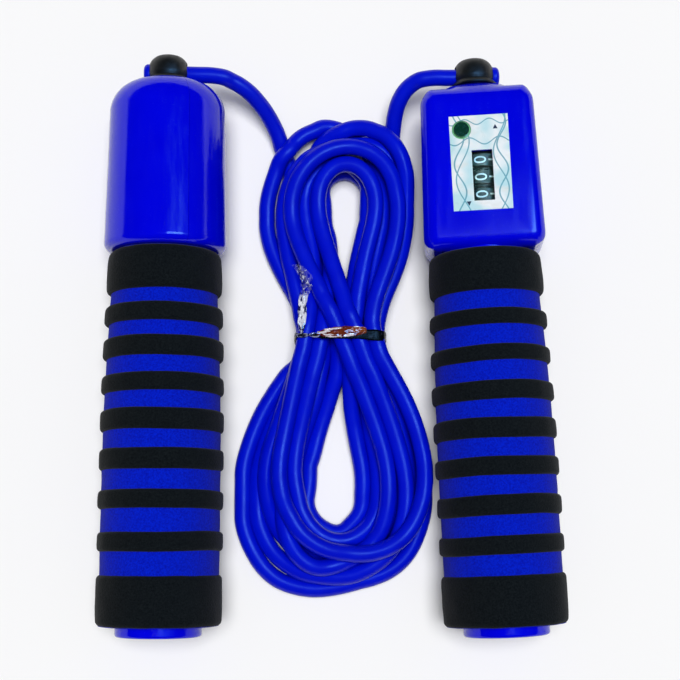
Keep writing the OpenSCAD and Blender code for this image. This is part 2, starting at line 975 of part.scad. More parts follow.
module tie_band() {
    outer_width = waist_width + 2 * tie_thickness;
    translate([waist_x, 2, 0])
        rotate([90, 0, 0])
            linear_extrude(tie_width, center = true)
                difference() {
                    translate([-outer_width / 2, 0])
                        square([outer_width, hank_height + tie_thickness]);
                    translate([-waist_width / 2, tie_thickness])
                        square([waist_width, hank_height - tie_thickness]);
                }
}

// --- nodes ---
module plain_swivel_cap() { color(black_plastic) plain_swivel_frame() swivel_cap(); }
module plain_swivel_shaft() { color(steel) plain_swivel_frame() swivel_shaft(shaft_step + 1); }
module plain_retaining_clip() { color(steel) plain_swivel_frame() retaining_clip(); }
module plain_front_shell() {
    color(blue_plastic) plain_frame()
        difference() {
            front_half() barrel_shell(true);
            peg_sockets();
        }
}
module plain_rear_shell() {
    color(blue_plastic) plain_frame() {
        rear_half() barrel_shell(false);
        peg_pins();
    }
}
module plain_core_tube() { color(blue_plastic) plain_frame() core_tube(); }
module plain_foam_sleeve() { color(blue_foam) plain_frame() foam_sleeve(plain_groove_spread); }
module plain_foam_rings() { color(black_foam) plain_frame() foam_rings(plain_groove_spread); }
module plain_end_cap() { color(blue_plastic) plain_frame() end_cap(); }

module counter_swivel_cap() { color(black_plastic) counter_swivel_frame() swivel_cap(); }
module counter_swivel_shaft() { color(steel) counter_swivel_frame() swivel_shaft(journal_end); }
module counter_retaining_clip() { color(steel) counter_swivel_frame() retaining_clip(); }
module counter_front_shell() {
    color(blue_plastic) counter_frame_place()
        difference() {
            front_half() block_shell(true);
            peg_sockets();
            label_cuts();
        }
}
module counter_rear_shell() {
    color(blue_plastic) counter_frame_place() {
        rear_half() block_shell(false);
        peg_pins();
    }
}
module counter_core_tube() { color(blue_plastic) counter_frame_place() core_tube(); }
module counter_foam_sleeve() { color(blue_foam) counter_frame_place() foam_sleeve(counter_groove_spread); }
module counter_foam_rings() { color(black_foam) counter_frame_place() foam_rings(counter_groove_spread); }
module counter_end_cap() { color(blue_plastic) counter_frame_place() end_cap(); }

module drive_pinion() { color(steel) counter_swivel_frame() drive_pinion_placed(); }
module drive_pinion_placed() { rotate([0, 0, counter_roll]) drive_pinion_shape(); }
module idler_gear() { color(white_plastic) counter_frame_place() idler_gear_shape(); }
module idler_axle() {
    color(steel) counter_frame_place()
        disc(small_axle_radius, frame_top, drum_gear_station + gear_width + 0.5, idler_centre);
}
module counter_frame() { color(white_plastic) counter_frame_place() counter_frame_shape(); }
module number_axle() {
    color(steel) counter_frame_place()
        disc(number_axle_radius, frame_top, frame_bottom + frame_thickness, drum_centre);
}
module units_wheel() { color(wheel_green) counter_frame_place() number_wheel(0); }
module tens_wheel() { color(wheel_green) counter_frame_place() number_wheel(1); }
module hundreds_wheel() { color(wheel_green) counter_frame_place() number_wheel(2); }
module carry_axle() {
    color(steel) counter_frame_place()
        disc(small_axle_radius, first_rim + wheel_rim - 0.3, frame_bottom + frame_thickness, carry_centre);
}
module tens_carry_pinion() { color(white_plastic) counter_frame_place() carry_pinion_shape(0); }
module hundreds_carry_pinion() { color(white_plastic) counter_frame_place() carry_pinion_shape(1); }
module label_plate() { color(white_plastic) counter_frame_place() label_plate_shape(); }
module window_lens() { color([0.8, 0.9, 0.9, 0.35]) counter_frame_place() window_lens_shape(); }
module reset_button() { color(button_green) counter_frame_place() reset_button_shape(); }
module reset_bar() { color(white_plastic) counter_frame_place() reset_bar_shape(); }
module reset_spring() { color(steel) counter_frame_place() reset_spring_shape(); }

module plain_rope_lead() { color(blue_plastic) lead(plain_lead_points); }
module counter_rope_lead() { color(blue_plastic) lead(counter_lead_points); }
module rope_hank() { color(blue_plastic) hank(); }
module twist_tie() { color(steel) tie_band(); }

plain_swivel_cap();
plain_swivel_shaft();
plain_retaining_clip();
plain_front_shell();
plain_rear_shell();
plain_core_tube();
plain_foam_sleeve();
plain_foam_rings();
plain_end_cap();
counter_swivel_cap();
counter_swivel_shaft();
counter_retaining_clip();
counter_front_shell();
counter_rear_shell();
counter_core_tube();
counter_foam_sleeve();
counter_foam_rings();
counter_end_cap();
drive_pinion();
idler_gear();
idler_axle();
counter_frame();
number_axle();
units_wheel();
tens_wheel();
hundreds_wheel();
carry_axle();
tens_carry_pinion();
hundreds_carry_pinion();
label_plate();
window_lens();
reset_button();
reset_bar();
reset_spring();
plain_rope_lead();
counter_rope_lead();
rope_hank();
twist_tie();
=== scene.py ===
# Jump rope with a turn counter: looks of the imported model, in metres, in the model's own frame.
import math
import bmesh
import bpy
import numpy as np
from mathutils import Matrix, Vector, noise


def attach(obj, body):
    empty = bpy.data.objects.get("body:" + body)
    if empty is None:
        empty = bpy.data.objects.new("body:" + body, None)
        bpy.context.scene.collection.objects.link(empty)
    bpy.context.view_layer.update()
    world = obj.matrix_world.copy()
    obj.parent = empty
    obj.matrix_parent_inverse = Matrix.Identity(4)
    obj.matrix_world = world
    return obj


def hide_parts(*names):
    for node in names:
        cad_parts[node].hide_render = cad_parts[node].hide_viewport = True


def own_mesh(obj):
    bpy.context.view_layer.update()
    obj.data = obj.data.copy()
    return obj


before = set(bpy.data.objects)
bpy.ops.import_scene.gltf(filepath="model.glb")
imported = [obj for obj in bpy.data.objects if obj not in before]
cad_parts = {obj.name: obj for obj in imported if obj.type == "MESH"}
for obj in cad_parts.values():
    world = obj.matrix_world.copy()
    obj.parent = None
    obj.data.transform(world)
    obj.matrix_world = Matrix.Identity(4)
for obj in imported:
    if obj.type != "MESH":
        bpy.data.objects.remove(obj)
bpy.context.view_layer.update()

scene = bpy.context.scene
MM = 0.001


# ---------------------------------------------------------------- camera
SENSOR = 36
FOCAL_PIXELS, PICTURE_PIXELS = 1400, 680
AIM = Vector((1.93, 0.35, 17)) * MM
DISTANCE = 399 * MM


def turn(axis, degrees):
    return Matrix.Rotation(math.radians(degrees), 4, axis)


def add_camera():
    """The photograph's view, nearly straight down."""
    data = bpy.data.cameras.new("camera")
    data.sensor_width = SENSOR
    data.lens = FOCAL_PIXELS / PICTURE_PIXELS * SENSOR
    data.clip_start, data.clip_end = 0.02, 10
    camera = bpy.data.objects.new("camera", data)
    scene.collection.objects.link(camera)
    tilt = turn("Y", -2.0) @ turn("X", 8.5)
    camera.matrix_world = Matrix.Translation(AIM) @ tilt @ Matrix.Translation((0, 0, DISTANCE))
    scene.camera = camera


add_camera()

# ---------------------------------------------------------------- rope, in millimetres
D = 4.8
LAYER = 4.0
# The waist's middle, its reach to each side along y, and a centreline's half width and height limit there
WAIST_X, WAIST_Y = 2.3, 2.4
WAIST_REACH, WAIST_HALF, WAIST_HEIGHT = 9, 10.5, 14.0
# Places inside the lobes that centrelines keep out of: middle and radius
HOLES = (((3.9, 46.6), 6.9), ((4.0, 38.0), 6.4), ((0.8, -44.8), 8.2), ((0.8, -36.0), 7.6))
# The lower and the upper lobe's sides: from y to y, a centreline's least and greatest x
LOBES = ((-62, -14, -25.8, 27.0), (20, 56, -19.4, 21.8))
# Outermost and innermost centreline points round the hank. T and B are its top and bottom. The others name the
# upper or lower lobe, its right or left side, and a number from 1 at the lobe's far end to 3 near the waist
OUTER = dict(
    T=(2.5, 62.8), UR1=(16.6, 56.4), UR2=(21.4, 41), UR3=(19.4, 26), LR3=(23.0, -21.5), LR2=(26.8, -42),
    LR1=(19.5, -60), B=(0.8, -67.6), LL1=(-17.2, -62), LL2=(-25.3, -44), LL3=(-20.5, -22), UL3=(-16.6, 25),
    UL2=(-19, 39), UL1=(-13.8, 54.4))
INNER = dict(
    T=(3.4, 54), UR1=(10.0, 49.2), UR2=(11.2, 38), UR3=(8.2, 26.5), LR3=(8.4, -22), LR2=(10.4, -38),
    LR1=(8.0, -49.6), B=(1.2, -54.0), LL1=(-6, -49.2), LL2=(-9.0, -36), LL3=(-6.8, -21), UL3=(-1.2, 26),
    UL2=(-2.8, 38), UL1=(-3.4, 48.8))
# The leads' centrelines: part.scad's points, and one more on each where it joins the hank
PLAIN_LEAD = [
    (-55.2, 78.3, 17.4), (-48, 78.3, 17.4), (-40.5, 78.3, 17.4), (-34, 78.2, 16.9), (-28.6, 77.0, 15.8),
    (-23.8, 74.4, 13.6), (-19.6, 71.0, 10.4), (-15.9, 67.0, 6.8), (-13.0, 62.8, 4.0), (-11.3, 57.8, 2.6),
    (-8.6, 51.5, 2.4)]
COUNTER_LEAD = [
    (15.6, 47, 2.4), (16.4, 54, 2.8), (17.0, 60, 4.6), (17.6, 65.4, 8.4), (18.6, 70.2, 12.2),
    (20.6, 74.4, 14.9), (24.0, 77.3, 16.4), (28.8, 78.3, 17.1), (34, 78.3, 17.3), (41.2, 78.4, 17.4),
    (48.6, 78.7, 17.4)]


def at(name, lane, layer):
    """A point between the innermost lane, 0, and the outermost, 1, on a layer counted up from the floor."""
    (xo, yo), (xi, yi) = OUTER[name], INNER[name]
    return (xi + (xo - xi) * lane, yi + (yo - yi) * lane, D / 2 + LAYER * layer)


def waist(share, layer):
    return (-7.8 + 20.2 * share, WAIST_Y, D / 2 + LAYER * layer)


def run(side, order, lane, layer):
    """Points along one side of a lobe, all in the same lane and layer."""
    return [at(side + c, lane, layer) for c in order]


def arch(right, top, left):
    return [at("UR1", *right), at("T", *top), at("UL1", *left)]


def down_left(lane, layer):
    return run("UL", "23", lane, layer)


def up_right(lane, layer):
    return run("UR", "32", lane, layer)


def rope_keys():
    """The plain lead, eight turns and the counter lead. A turn goes down the left, round the lower lobe, up the
    right and over the top; two of them cross the waist and go round the lower lobe the other way."""
    k = list(PLAIN_LEAD)
    k += [(-7.0, 44, 2.4), (-7.2, 36, 2.4), at("UL3", .46, 0), waist(.23, 1)] + run("LL", "321", .22, 0)
    k += [at("B", .30, 0)] + run("LR", "123", .52, 0) + [waist(.97, 1)] + up_right(.5, 1)
    k += [(13.6, 53.6, 6.6), (9.4, 59.4, 5.4), (3.6, 62.3, 5.4),
          (-3.4, 62.4, 6.4), (-9.6, 58.8, 7.2), (-13.9, 54.0, 6.2)]
    k += down_left(1.0, 0) + [waist(0, 0)]
    k += [(-21.4, -24, 2.4), (-25.9, -36, 2.4), (-26.4, -45, 2.4), (-24.6, -53, 2.4),
          (-21.2, -59.2, 2.4), (-16.9, -63.6, 2.4), (-11.8, -65.4, 2.4), (-6, -65.2, 2.4)]
    k += [at("B", .78, 0)] + run("LR", "123", 1.0, 0) + [waist(1.0, 0)] + up_right(.96, 0)
    k += arch((1.0, 1.2), (.44, .6), (.50, 1.1)) + [at("UL2", .64, .1), at("UL3", .66, 0), waist(0, 1)]
    k += run("LL", "321", .46, 0)
    k += [at("B", .62, 0)] + run("LR", "123", .76, 0) + [waist(.95, 2)] + up_right(1.0, 1)
    k += [(20.6, 50.0, 9.6), (16.4, 57.6, 11.2), (9.4, 62.9, 10.2), (1.6, 61.2, 8.0), (-4.6, 56.4, 5.6)]
    k += [at("UL1", .30, .4)]
    k += down_left(.25, 0) + [waist(.46, 1)] + run("LL", "321", 0, 0)
    k += [at("B", 0, 0)] + run("LR", "123", .02, 0) + [waist(.70, 2)] + up_right(.06, 2)
    k += arch((.06, 2.1), (.1, 2.1), (.05, 1.6)) + [at("UL2", .06, 1.1), (-0.6, 28, 9.5), (4.2, 14.5, 12.5)]
    k += [waist(.84, 3.0), at("LR3", .66, 1.6), at("LR2", .70, 1), at("LR1", .74, .9), at("B", .72, .5)]
    k += [at("LL1", .80, 0), (-22.0, -46, 2.4), (-20.2, -33, 2.4), (-16.0, -22, 2.4)]
    k += [waist(.33, 0)] + up_right(0, 0)
    k += arch((0, 0), (0, 0), (0, 0)) + down_left(0, 0) + [waist(.22, 2)] + run("LL", "321", .14, 1)
    k += [at("B", .22, 1)] + run("LR", "123", .27, 0) + [waist(.73, 1)] + up_right(.1, 1)
    k += arch((.15, 1), (.32, 1), (.26, 1)) + [at("UL2", .24, 1), at("UL3", .24, 1), waist(.02, 2)]
    k += run("LL", "321", .36, 1)
    k += [at("B", .50, 1), at("LR1", .86, 1.2), at("LR2", .97, 1.1), at("LR3", .98, 1.1)]
    k += [waist(.98, 2.2)] + up_right(.88, 2)
    k += arch((.78, 2.1), (.46, 2.1), (.36, 2.3)) + [at("UL2", .46, 1.2), (-6.2, 26, 9.5), (-0.4, 13, 12.5)]
    k += [waist(.66, 3.1), at("LR3", .36, 1.7), at("LR2", .38, 1.1), at("LR1", .50, .9)]
    k += [(9.5, -60.5, 2.8), (6.2, -63.2, 4.0), (2.6, -66.2, 6.0), (-1.8, -68.2, 6.6), (-6.4, -68.0, 6.8),
          (-11.2, -65.2, 7.0), (-14.9, -59.6, 7.0), (-17.0, -52, 5.6), (-17.4, -45, 4.4), (-16.2, -36, 3.4),
          (-12.8, -25, 2.6)]
    k += [waist(.66, 0)] + up_right(.48, 0)
    return np.array(k + COUNTER_LEAD, float)


def distances(points):
    """How far along the points each one is."""
    return np.concatenate([[0], np.cumsum(np.linalg.norm(np.diff(points, axis=0), axis=1))])


def sample(points, along, marks):
    """The points read off at other distances along them."""
    return np.stack([np.interp(marks, along, points[:, j]) for j in range(points.shape[1])], 1)


def catmull_rom(points, step):
    """A smooth line through the points, as new points about a step apart."""
    fine = []
    last = len(points) - 1
    for i in range(last):
        a, b, c, d = points[max(i - 1, 0)], points[i], points[i + 1], points[min(i + 2, last)]
        for t in np.linspace(0, 1, 12, endpoint=False):
            square, cube = 2 * a - 5 * b + 4 * c - d, 3 * b - a - 3 * c + d
            fine.append((2 * b + (c - a) * t + square * t * t + cube * t ** 3) / 2)
    fine = np.array(fine + [points[-1]])
    along = distances(fine)
    return sample(fine, along, np.linspace(0, along[-1], int(round(along[-1] / step)) + 1))


def unbend(values, reach):
    """What moves each value to the middle of its two neighbours at a reach; nothing at the ends."""
    moves = np.zeros_like(values)
    moves[reach:-reach] = 0.5 * (values[:-2 * reach] + values[2 * reach:]) - values[reach:-reach]
    return moves


def fair(points, passes, held):
    """The points smoothed without shrinking, apart from the held ones."""
    kept = points[held].copy()
    for _ in range(passes):
        for weight in (0.6, -0.615):
            points += weight * unbend(points, 1)
        points[held] = kept
    return points


def push_apart(x, first, second, free):
    """Pairs of points nearer than the rope's thickness move apart, each by its share."""
    n = len(x)
    gap = x[first] - x[second]
    far = np.linalg.norm(gap, axis=1)
    close = far < D
    a, b, r = first[close], second[close], np.maximum(far[close], 0.2)
    push = (0.5 * (D - r) / r)[:, None] * gap[close]
    move = np.stack([np.bincount(a, push[:, q], n) - np.bincount(b, push[:, q], n) for q in range(3)], 1)
    count = np.bincount(a, minlength=n) + np.bincount(b, minlength=n)
    x += move / np.maximum(count, 1)[:, None] * CONTACT * free


def keep_in(x, held):
    """The floor, the tie's grip on the waist, the lobes' open holes and the lobes' width, as limits."""
    x[:, 2] = np.where(held, x[:, 2], np.maximum(x[:, 2], D / 2))
    off = np.abs(x[:, 1] - WAIST_Y)
    w = off < WAIST_REACH
    half = WAIST_HALF + 0.05 * np.maximum(off[w] - 1.5, 0) ** 2
    x[w, 0] = np.clip(x[w, 0], WAIST_X - half, WAIST_X + half)
    x[w, 2] = np.minimum(x[w, 2], WAIST_HEIGHT + 0.03 * off[w] ** 2)
    for hole, reach in HOLES:
        away = x[:, :2] - hole
        far = np.linalg.norm(away, axis=1)
        w = (far < reach) & ~held
        x[w, :2] += away[w] * (0.5 * (reach - far[w]) / np.maximum(far[w], 0.1))[:, None]
    for low, high, least, most in LOBES:
        w = (x[:, 1] > low) & (x[:, 1] < high) & ~held
        x[w, 0] = np.clip(x[w, 0], least, most)


# Settling: how far the rope falls in a round and what share of that is lost by the last one, how much of a
# sideways shift stays, the stiffness of its shift in x, y and z, that of its height, and the push of contact
FALL, FALL_LOST, STAYS = 0.10, 0.7, 0.995
STIFFNESS, HEIGHT_STIFFNESS, CONTACT = np.array([0.35, 0.35, 0.30]), 0.3, 1.5


def settle(plan, held, rounds=500):
    """The rope drops onto the floor and onto itself: gravity, bending stiffness and contact, nothing random."""
    n = len(plan)
    free = (~held)[:, None].astype(float)
    x = plan.copy()
    spacing = np.linalg.norm(np.diff(x, axis=0), axis=1).mean()
    first, second = np.triu_indices(n, int(np.ceil(D * 1.5 / spacing)) + 1)
    for it in range(rounds):
        if it % 6 == 0:
            near = (np.abs(x[first] - x[second]) < D + 2.5).all(axis=1)
            near_first, near_second = first[near], second[near]
        x[:, 2] -= FALL * (1 - FALL_LOST * it / rounds) * free[:, 0]
        shift = x - plan
        shift[:, :2] *= STAYS
        for reach in (1, 2, 4):
            shift += unbend(shift, reach) * STIFFNESS * free
        x = plan + shift
        z = x[:, 2].copy()
        for reach in (1, 3):
            z += HEIGHT_STIFFNESS * unbend(z, reach) * free[:, 0]
        x[:, 2] = z
        for _ in range(4):
            push_apart(x, near_first, near_second, free)
            keep_in(x, held)
            x[held] = plan[held]
    return x


COARSE_STEP, FINE_STEP, HELD_POINTS, FAIRING = 2.6, 1.0, 10, 60


def rope_line():
    """The keys made into a line, faired and settled; its first and last points stay on the CAD's leads."""
    points = catmull_rom(rope_keys(), COARSE_STEP)
    held = np.zeros(len(points), bool)
    held[:HELD_POINTS] = held[-HELD_POINTS:] = True
    return catmull_rom(settle(fair(points, FAIRING, held), held), FINE_STEP)


line = rope_line()


def tube(points, radii, sides=8):
    """A closed round tube through the points, as verts and faces; its frame turns as little as it can."""
    points = np.asarray(points, float)
    n = len(points)
    radii = np.broadcast_to(np.asarray(radii, float), (n,))
    verts, faces = [], []
    normal = Vector((0, 0.2, 1)).normalized()
    for i in range(n):
        tangent = Vector(points[min(i + 1, n - 1)] - points[max(i - 1, 0)]).normalized()
        normal = (normal - tangent * normal.dot(tangent)).normalized()
        side = tangent.cross(normal)
        for j in range(sides):
            a = 2 * math.pi * j / sides
            verts.append(Vector(points[i]) + (normal * math.cos(a) + side * math.sin(a)) * radii[i])
    for i in range(n - 1):
        for j in range(sides):
            k = (j + 1) % sides
            faces.append((i * sides + j, i * sides + k, (i + 1) * sides + k, (i + 1) * sides + j))
    faces.append(tuple(reversed(range(sides))))
    faces.append(tuple(range((n - 1) * sides, n * sides)))
    return verts, faces


def mesh_object(name, verts, faces, smooth=True):
    """A new mesh object from points in metres."""
    mesh = bpy.data.meshes.new(name)
    mesh.from_pydata(verts, [], faces)
    mesh.validate()
    mesh.update()
    mesh.polygons.foreach_set("use_smooth", [smooth] * len(mesh.polygons))
    made = bpy.data.objects.new(name, mesh)
    scene.collection.objects.link(made)
    return made


# The stoppers at the rope's ends: length, the slope up to them, how far they stand out, and their rounding
STOPPER_LENGTH, STOPPER_SLOPE, STOPPER_SWELL, STOPPER_ROUND = 3.0, 0.8, 0.55, 1.3


def add_rope():
    """The rope as a tube on its line; both ends swell into rounded stoppers outside the caps."""
    along = distances(line)
    ends = np.array([0.0, 0.12, 0.3, 0.6, 0.85])
    marks = np.concatenate([ends, along[1:-1], along[-1] - ends[::-1]])
    inside = np.minimum(marks, along[-1] - marks)
    flat = 1 - np.minimum(inside / STOPPER_ROUND, 1)
    rounding = STOPPER_ROUND * (1 - np.sqrt(np.maximum(0, 1 - flat ** 2)))
    swelling = STOPPER_SWELL * np.clip((STOPPER_LENGTH - inside) / STOPPER_SLOPE, 0, 1)
    verts, faces = tube(sample(line, along, marks), D / 2 + swelling - rounding, 20)
    return mesh_object("rope", [v * MM for v in verts], faces)


rope = add_rope()


# ---------------------------------------------------------------- materials
class Material:
    """A Principled material, with short calls for the nodes that vary it over the model's own coordinates."""

    def __init__(self, name, colour, roughness, **sockets):
        self.data = bpy.data.materials.new(name)
        self.data.use_nodes = True
        self.nodes, self.links = self.data.node_tree.nodes, self.data.node_tree.links
        self.shader = self.nodes["Principled BSDF"]
        self.set("Base Color", (*colour, 1))
        self.set("Roughness", roughness)
        for key, value in sockets.items():
            self.set(key.replace("_", " "), value)
        self.data.diffuse_color = (*colour, 1)
        self.place = self.nodes.new("ShaderNodeTexCoord").outputs["Object"]

    def set(self, socket, value):
        self.shader.inputs[socket].default_value = value

    def node(self, kind, inputs=(), **settings):
        made = self.nodes.new(kind)
        for key, value in settings.items():
            setattr(made, key, value)
        for key, value in dict(inputs).items():
            if isinstance(value, bpy.types.NodeSocket):
                self.links.new(value, made.inputs[key])
            else:
                made.inputs[key].default_value = value
        return made

    def noise(self, size_mm, detail=2.0, roughness=0.5, stretch=None):
        where = self.place
        if stretch:
            where = self.node("ShaderNodeMapping", {"Vector": where, "Scale": stretch}).outputs[0]
        return self.node("ShaderNodeTexNoise", {"Vector": where, "Scale": 1 / (size_mm * MM), "Detail": detail,
                                                "Roughness": roughness}).outputs["Fac"]

    def cells(self, size_mm):
        made = self.node("ShaderNodeTexVoronoi", {"Vector": self.place, "Scale": 1 / (size_mm * MM)})
        return made.outputs["Distance"]

    def ramp(self, value, low, high, to_low=0.0, to_high=1.0):
        return self.node("ShaderNodeMapRange", {"Value": value, "From Min": low, "From Max": high,
                                                "To Min": to_low, "To Max": to_high}).outputs["Result"]

    def math(self, operation, a, b=0.0):
        return self.node("ShaderNodeMath", {0: a, 1: b}, operation=operation).outputs[0]

    def mix(self, share, a, b):
        made = self.node("ShaderNodeMix", data_type="RGBA")
        for index, value in ((0, share), (6, a), (7, b)):
            if isinstance(value, bpy.types.NodeSocket):
                self.links.new(value, made.inputs[index])
            else:
                made.inputs[index].default_value = (*value, 1) if isinstance(value, tuple) else value
        return made.outputs[2]

    def colour(self, output):
        self.links.new(output, self.shader.inputs["Base Color"])

    def roughness(self, output):
        self.links.new(output, self.shader.inputs["Roughness"])

    def bump(self, height, depth_mm, strength=1.0):
        made = self.node("ShaderNodeBump", {"Height": height, "Distance": depth_mm * MM, "Strength": strength})
        before = self.shader.inputs["Normal"].links
        if before:
            self.links.new(before[0].from_socket, made.inputs["Normal"])
        self.links.new(made.outputs[0], self.shader.inputs["Normal"])


def blue_shell():
    m = Material("blue_shell_plastic", (0.0, 0.0, 0.70), 0.2, Coat_Weight=0.1, Coat_Roughness=0.06,
                 Specular_IOR_Level=0.32)
    m.colour(m.mix(m.noise(9, 3), (0.0, 0.0, 0.67), (0.0, 0.001, 0.77)))
    dust = m.ramp(m.noise(0.35, 1), 0.68, 0.78)
    scuffs = m.ramp(m.noise(2.2, 5, 0.65, (1, 0.15, 1)), 0.45, 0.75, 0.13, 0.27)
    m.roughness(m.math("ADD", scuffs, m.math("MULTIPLY", dust, 0.25)))
    m.bump(m.noise(1.6, 2), 0.012)
    m.bump(m.noise(14, 1), 0.05)
    return m.data


def blue_foam():
    m = Material("blue_foam", (0.0, 0.01, 0.5), 0.9, Sheen_Weight=0.04, Sheen_Roughness=0.6, Specular_IOR_Level=0.1)
    grain = m.noise(0.5, 3, 0.7)
    m.colour(m.mix(m.ramp(grain, 0.32, 0.62), (0.0, 0.003, 0.34), (0.0, 0.014, 0.6)))
    m.bump(m.cells(0.55), 0.12, 0.6)
    m.bump(grain, 0.1, 0.7)
    return m.data


def black_foam():
    m = Material("black_foam", (0.004, 0.005, 0.0055), 0.92, Sheen_Weight=0.05, Sheen_Roughness=0.5,
                 Specular_IOR_Level=0.15)
    grain = m.noise(0.45, 3, 0.7)
    m.colour(m.mix(m.ramp(grain, 0.35, 0.68), (0.0015, 0.002, 0.0022), (0.008, 0.0105, 0.0115)))
    m.bump(m.cells(0.5), 0.12, 0.6)
    m.bump(grain, 0.1, 0.7)
    m.bump(m.noise(6, 2), 0.15, 0.6)
    return m.data


def black_cap():
    m = Material("black_cap_plastic", (0.005, 0.006, 0.006), 0.42)
    m.colour(m.mix(m.noise(2.5, 3), (0.003, 0.004, 0.004), (0.009, 0.01, 0.01)))
    m.roughness(m.ramp(m.noise(1.2, 4), 0.3, 0.7, 0.34, 0.55))
    m.bump(m.noise(0.35, 2), 0.015)
    return m.data


def steel():
    m = Material("steel", (0.6, 0.61, 0.63), 0.3, Metallic=1.0)
    brush = m.noise(0.25, 3, 0.6, (1, 0.08, 1))
    m.roughness(m.ramp(brush, 0.3, 0.7, 0.22, 0.42))
    m.colour(m.mix(m.noise(3, 2), (0.52, 0.53, 0.55), (0.68, 0.69, 0.7)))
    m.bump(brush, 0.004)
    return m.data


def brass():
    m = Material("brass_gear", (0.72, 0.5, 0.18), 0.3, Metallic=1.0)
    m.colour(m.mix(m.noise(1.5, 4), (0.6, 0.4, 0.13), (0.8, 0.58, 0.24)))
    m.roughness(m.ramp(m.noise(0.5, 3), 0.3, 0.7, 0.22, 0.4))
    return m.data


def white_gear():
    m = Material("white_gear_plastic", (0.8, 0.8, 0.77), 0.45)
    m.colour(m.mix(m.noise(4, 3), (0.74, 0.74, 0.7), (0.84, 0.84, 0.82)))
    m.roughness(m.ramp(m.noise(0.8, 3), 0.3, 0.7, 0.36, 0.55))
    m.bump(m.noise(0.6, 2), 0.01)
    return m.data


def wheel_green():
    m = Material("number_wheel_plastic", (0.006, 0.035, 0.03), 0.4)
    m.colour(m.mix(m.noise(1.5, 3), (0.004, 0.025, 0.022), (0.012, 0.055, 0.045)))
    m.roughness(m.ramp(m.noise(0.6, 3), 0.3, 0.7, 0.32, 0.5))
    return m.data


def digit_white():
    m = Material("digit_print", (0.72, 0.8, 0.78), 0.5)
    m.colour(m.mix(m.noise(0.3, 2), (0.6, 0.7, 0.68), (0.82, 0.88, 0.86)))
    return m.data


def lens_clear():
    m = Material("lens_plastic", (0.9, 1.0, 0.97), 0.03, Transmission_Weight=1.0, IOR=1.2)
    m.roughness(m.ramp(m.noise(3, 4), 0.35, 0.75, 0.01, 0.09))
    return m.data


def rope_plastic():
    m = Material("rope_plastic", (0.0, 0.004, 0.58), 0.34, Specular_IOR_Level=0.25)
    m.colour(m.mix(m.noise(7, 3), (0.0, 0.002, 0.52), (0.0, 0.008, 0.66)))
    dust = m.ramp(m.noise(0.4, 1), 0.66, 0.76)
    m.roughness(m.math("ADD", m.ramp(m.noise(2.5, 4), 0.35, 0.7, 0.29, 0.4), m.math("MULTIPLY", dust, 0.2)))
    m.bump(m.noise(2.2, 2), 0.02)
    return m.data


def handle_place(m, matrix):
    """Across and station, in millimetres, in a handle's own frame."""
    local = m.node("ShaderNodeMapping", {"Vector": m.place, "Location": matrix.to_translation() * MM,
                                         "Rotation": tuple(matrix.to_euler("XYZ"))}, vector_type="TEXTURE")
    parts = m.node("ShaderNodeSeparateXYZ", {0: local.outputs[0]})
    return m.math("MULTIPLY", parts.outputs["X"], 1000.0), m.math("MULTIPLY", parts.outputs["Z"], 1000.0)


def wave(m, across, along, centre, swing, pitch, phase, width):
    """One thin wavy printed line that runs along: 1 on it, 0 beside it."""
    angle = m.math("ADD", m.math("MULTIPLY", along, pitch), phase)
    middle = m.math("ADD", m.math("MULTIPLY", m.math("SINE", angle), swing), centre)
    off = m.math("ABSOLUTE", m.math("SUBTRACT", across, middle))
    return m.ramp(off, width, width + 0.14, 1.0, 0.0)


def triangle(m, x, z, centre, point):
    """A plain printed triangle: point is 1 or -1 for the way along the station that it points."""
    dx = m.math("ABSOLUTE", m.math("SUBTRACT", x, centre[0]))
    dz = m.math("MULTIPLY", m.math("SUBTRACT", z, centre[1]), point)
    slope = m.math("ADD", m.math("MULTIPLY", dx, 1.9), dz)
    return m.math("MULTIPLY", m.math("LESS_THAN", slope, 0.8), m.math("GREATER_THAN", dz, -0.5))


def label_print(matrix):
    m = Material("label_print", (0.8, 0.88, 0.9), 0.32)
    x, z = handle_place(m, matrix)
    base = m.mix(m.ramp(m.noise(8, 2), 0.42, 0.6), (0.82, 0.87, 0.9), (0.5, 0.74, 0.8))
    base = m.mix(m.ramp(m.noise(5, 2, 0.5, (1, 1.6, 1)), 0.55, 0.72, 0, 0.5), base, (0.68, 0.7, 0.66))
    ink = 0.0
    for curve in ((x, z, -5.9, 1.5, 0.40, 0.4, 0.15), (x, z, -5.0, 2.1, 0.27, 2.6, 0.12),
                  (x, z, 6.2, 1.4, 0.46, 1.2, 0.15), (x, z, 5.6, 1.9, 0.30, 4.0, 0.12),
                  (z, x, 19.8, 1.0, 0.75, 0.5, 0.12), (z, x, 14.2, 0.8, 0.9, 2.0, 0.1)):
        ink = m.math("MAXIMUM", wave(m, *curve), ink)
    lines = m.mix(m.noise(4, 2), (0.02, 0.2, 0.27), (0.1, 0.42, 0.55))
    colour = m.mix(m.math("MULTIPLY", ink, 0.85), base, lines)
    marks = m.math("MAXIMUM", triangle(m, x, z, (4.6, 16.0), -1.0), triangle(m, x, z, (-3.9, 37.6), 1.0))
    m.colour(m.mix(marks, colour, (0.01, 0.02, 0.05)))
    m.roughness(m.ramp(m.noise(2, 4), 0.3, 0.7, 0.24, 0.42))
    m.bump(m.noise(1.2, 3), 0.01)
    return m.data


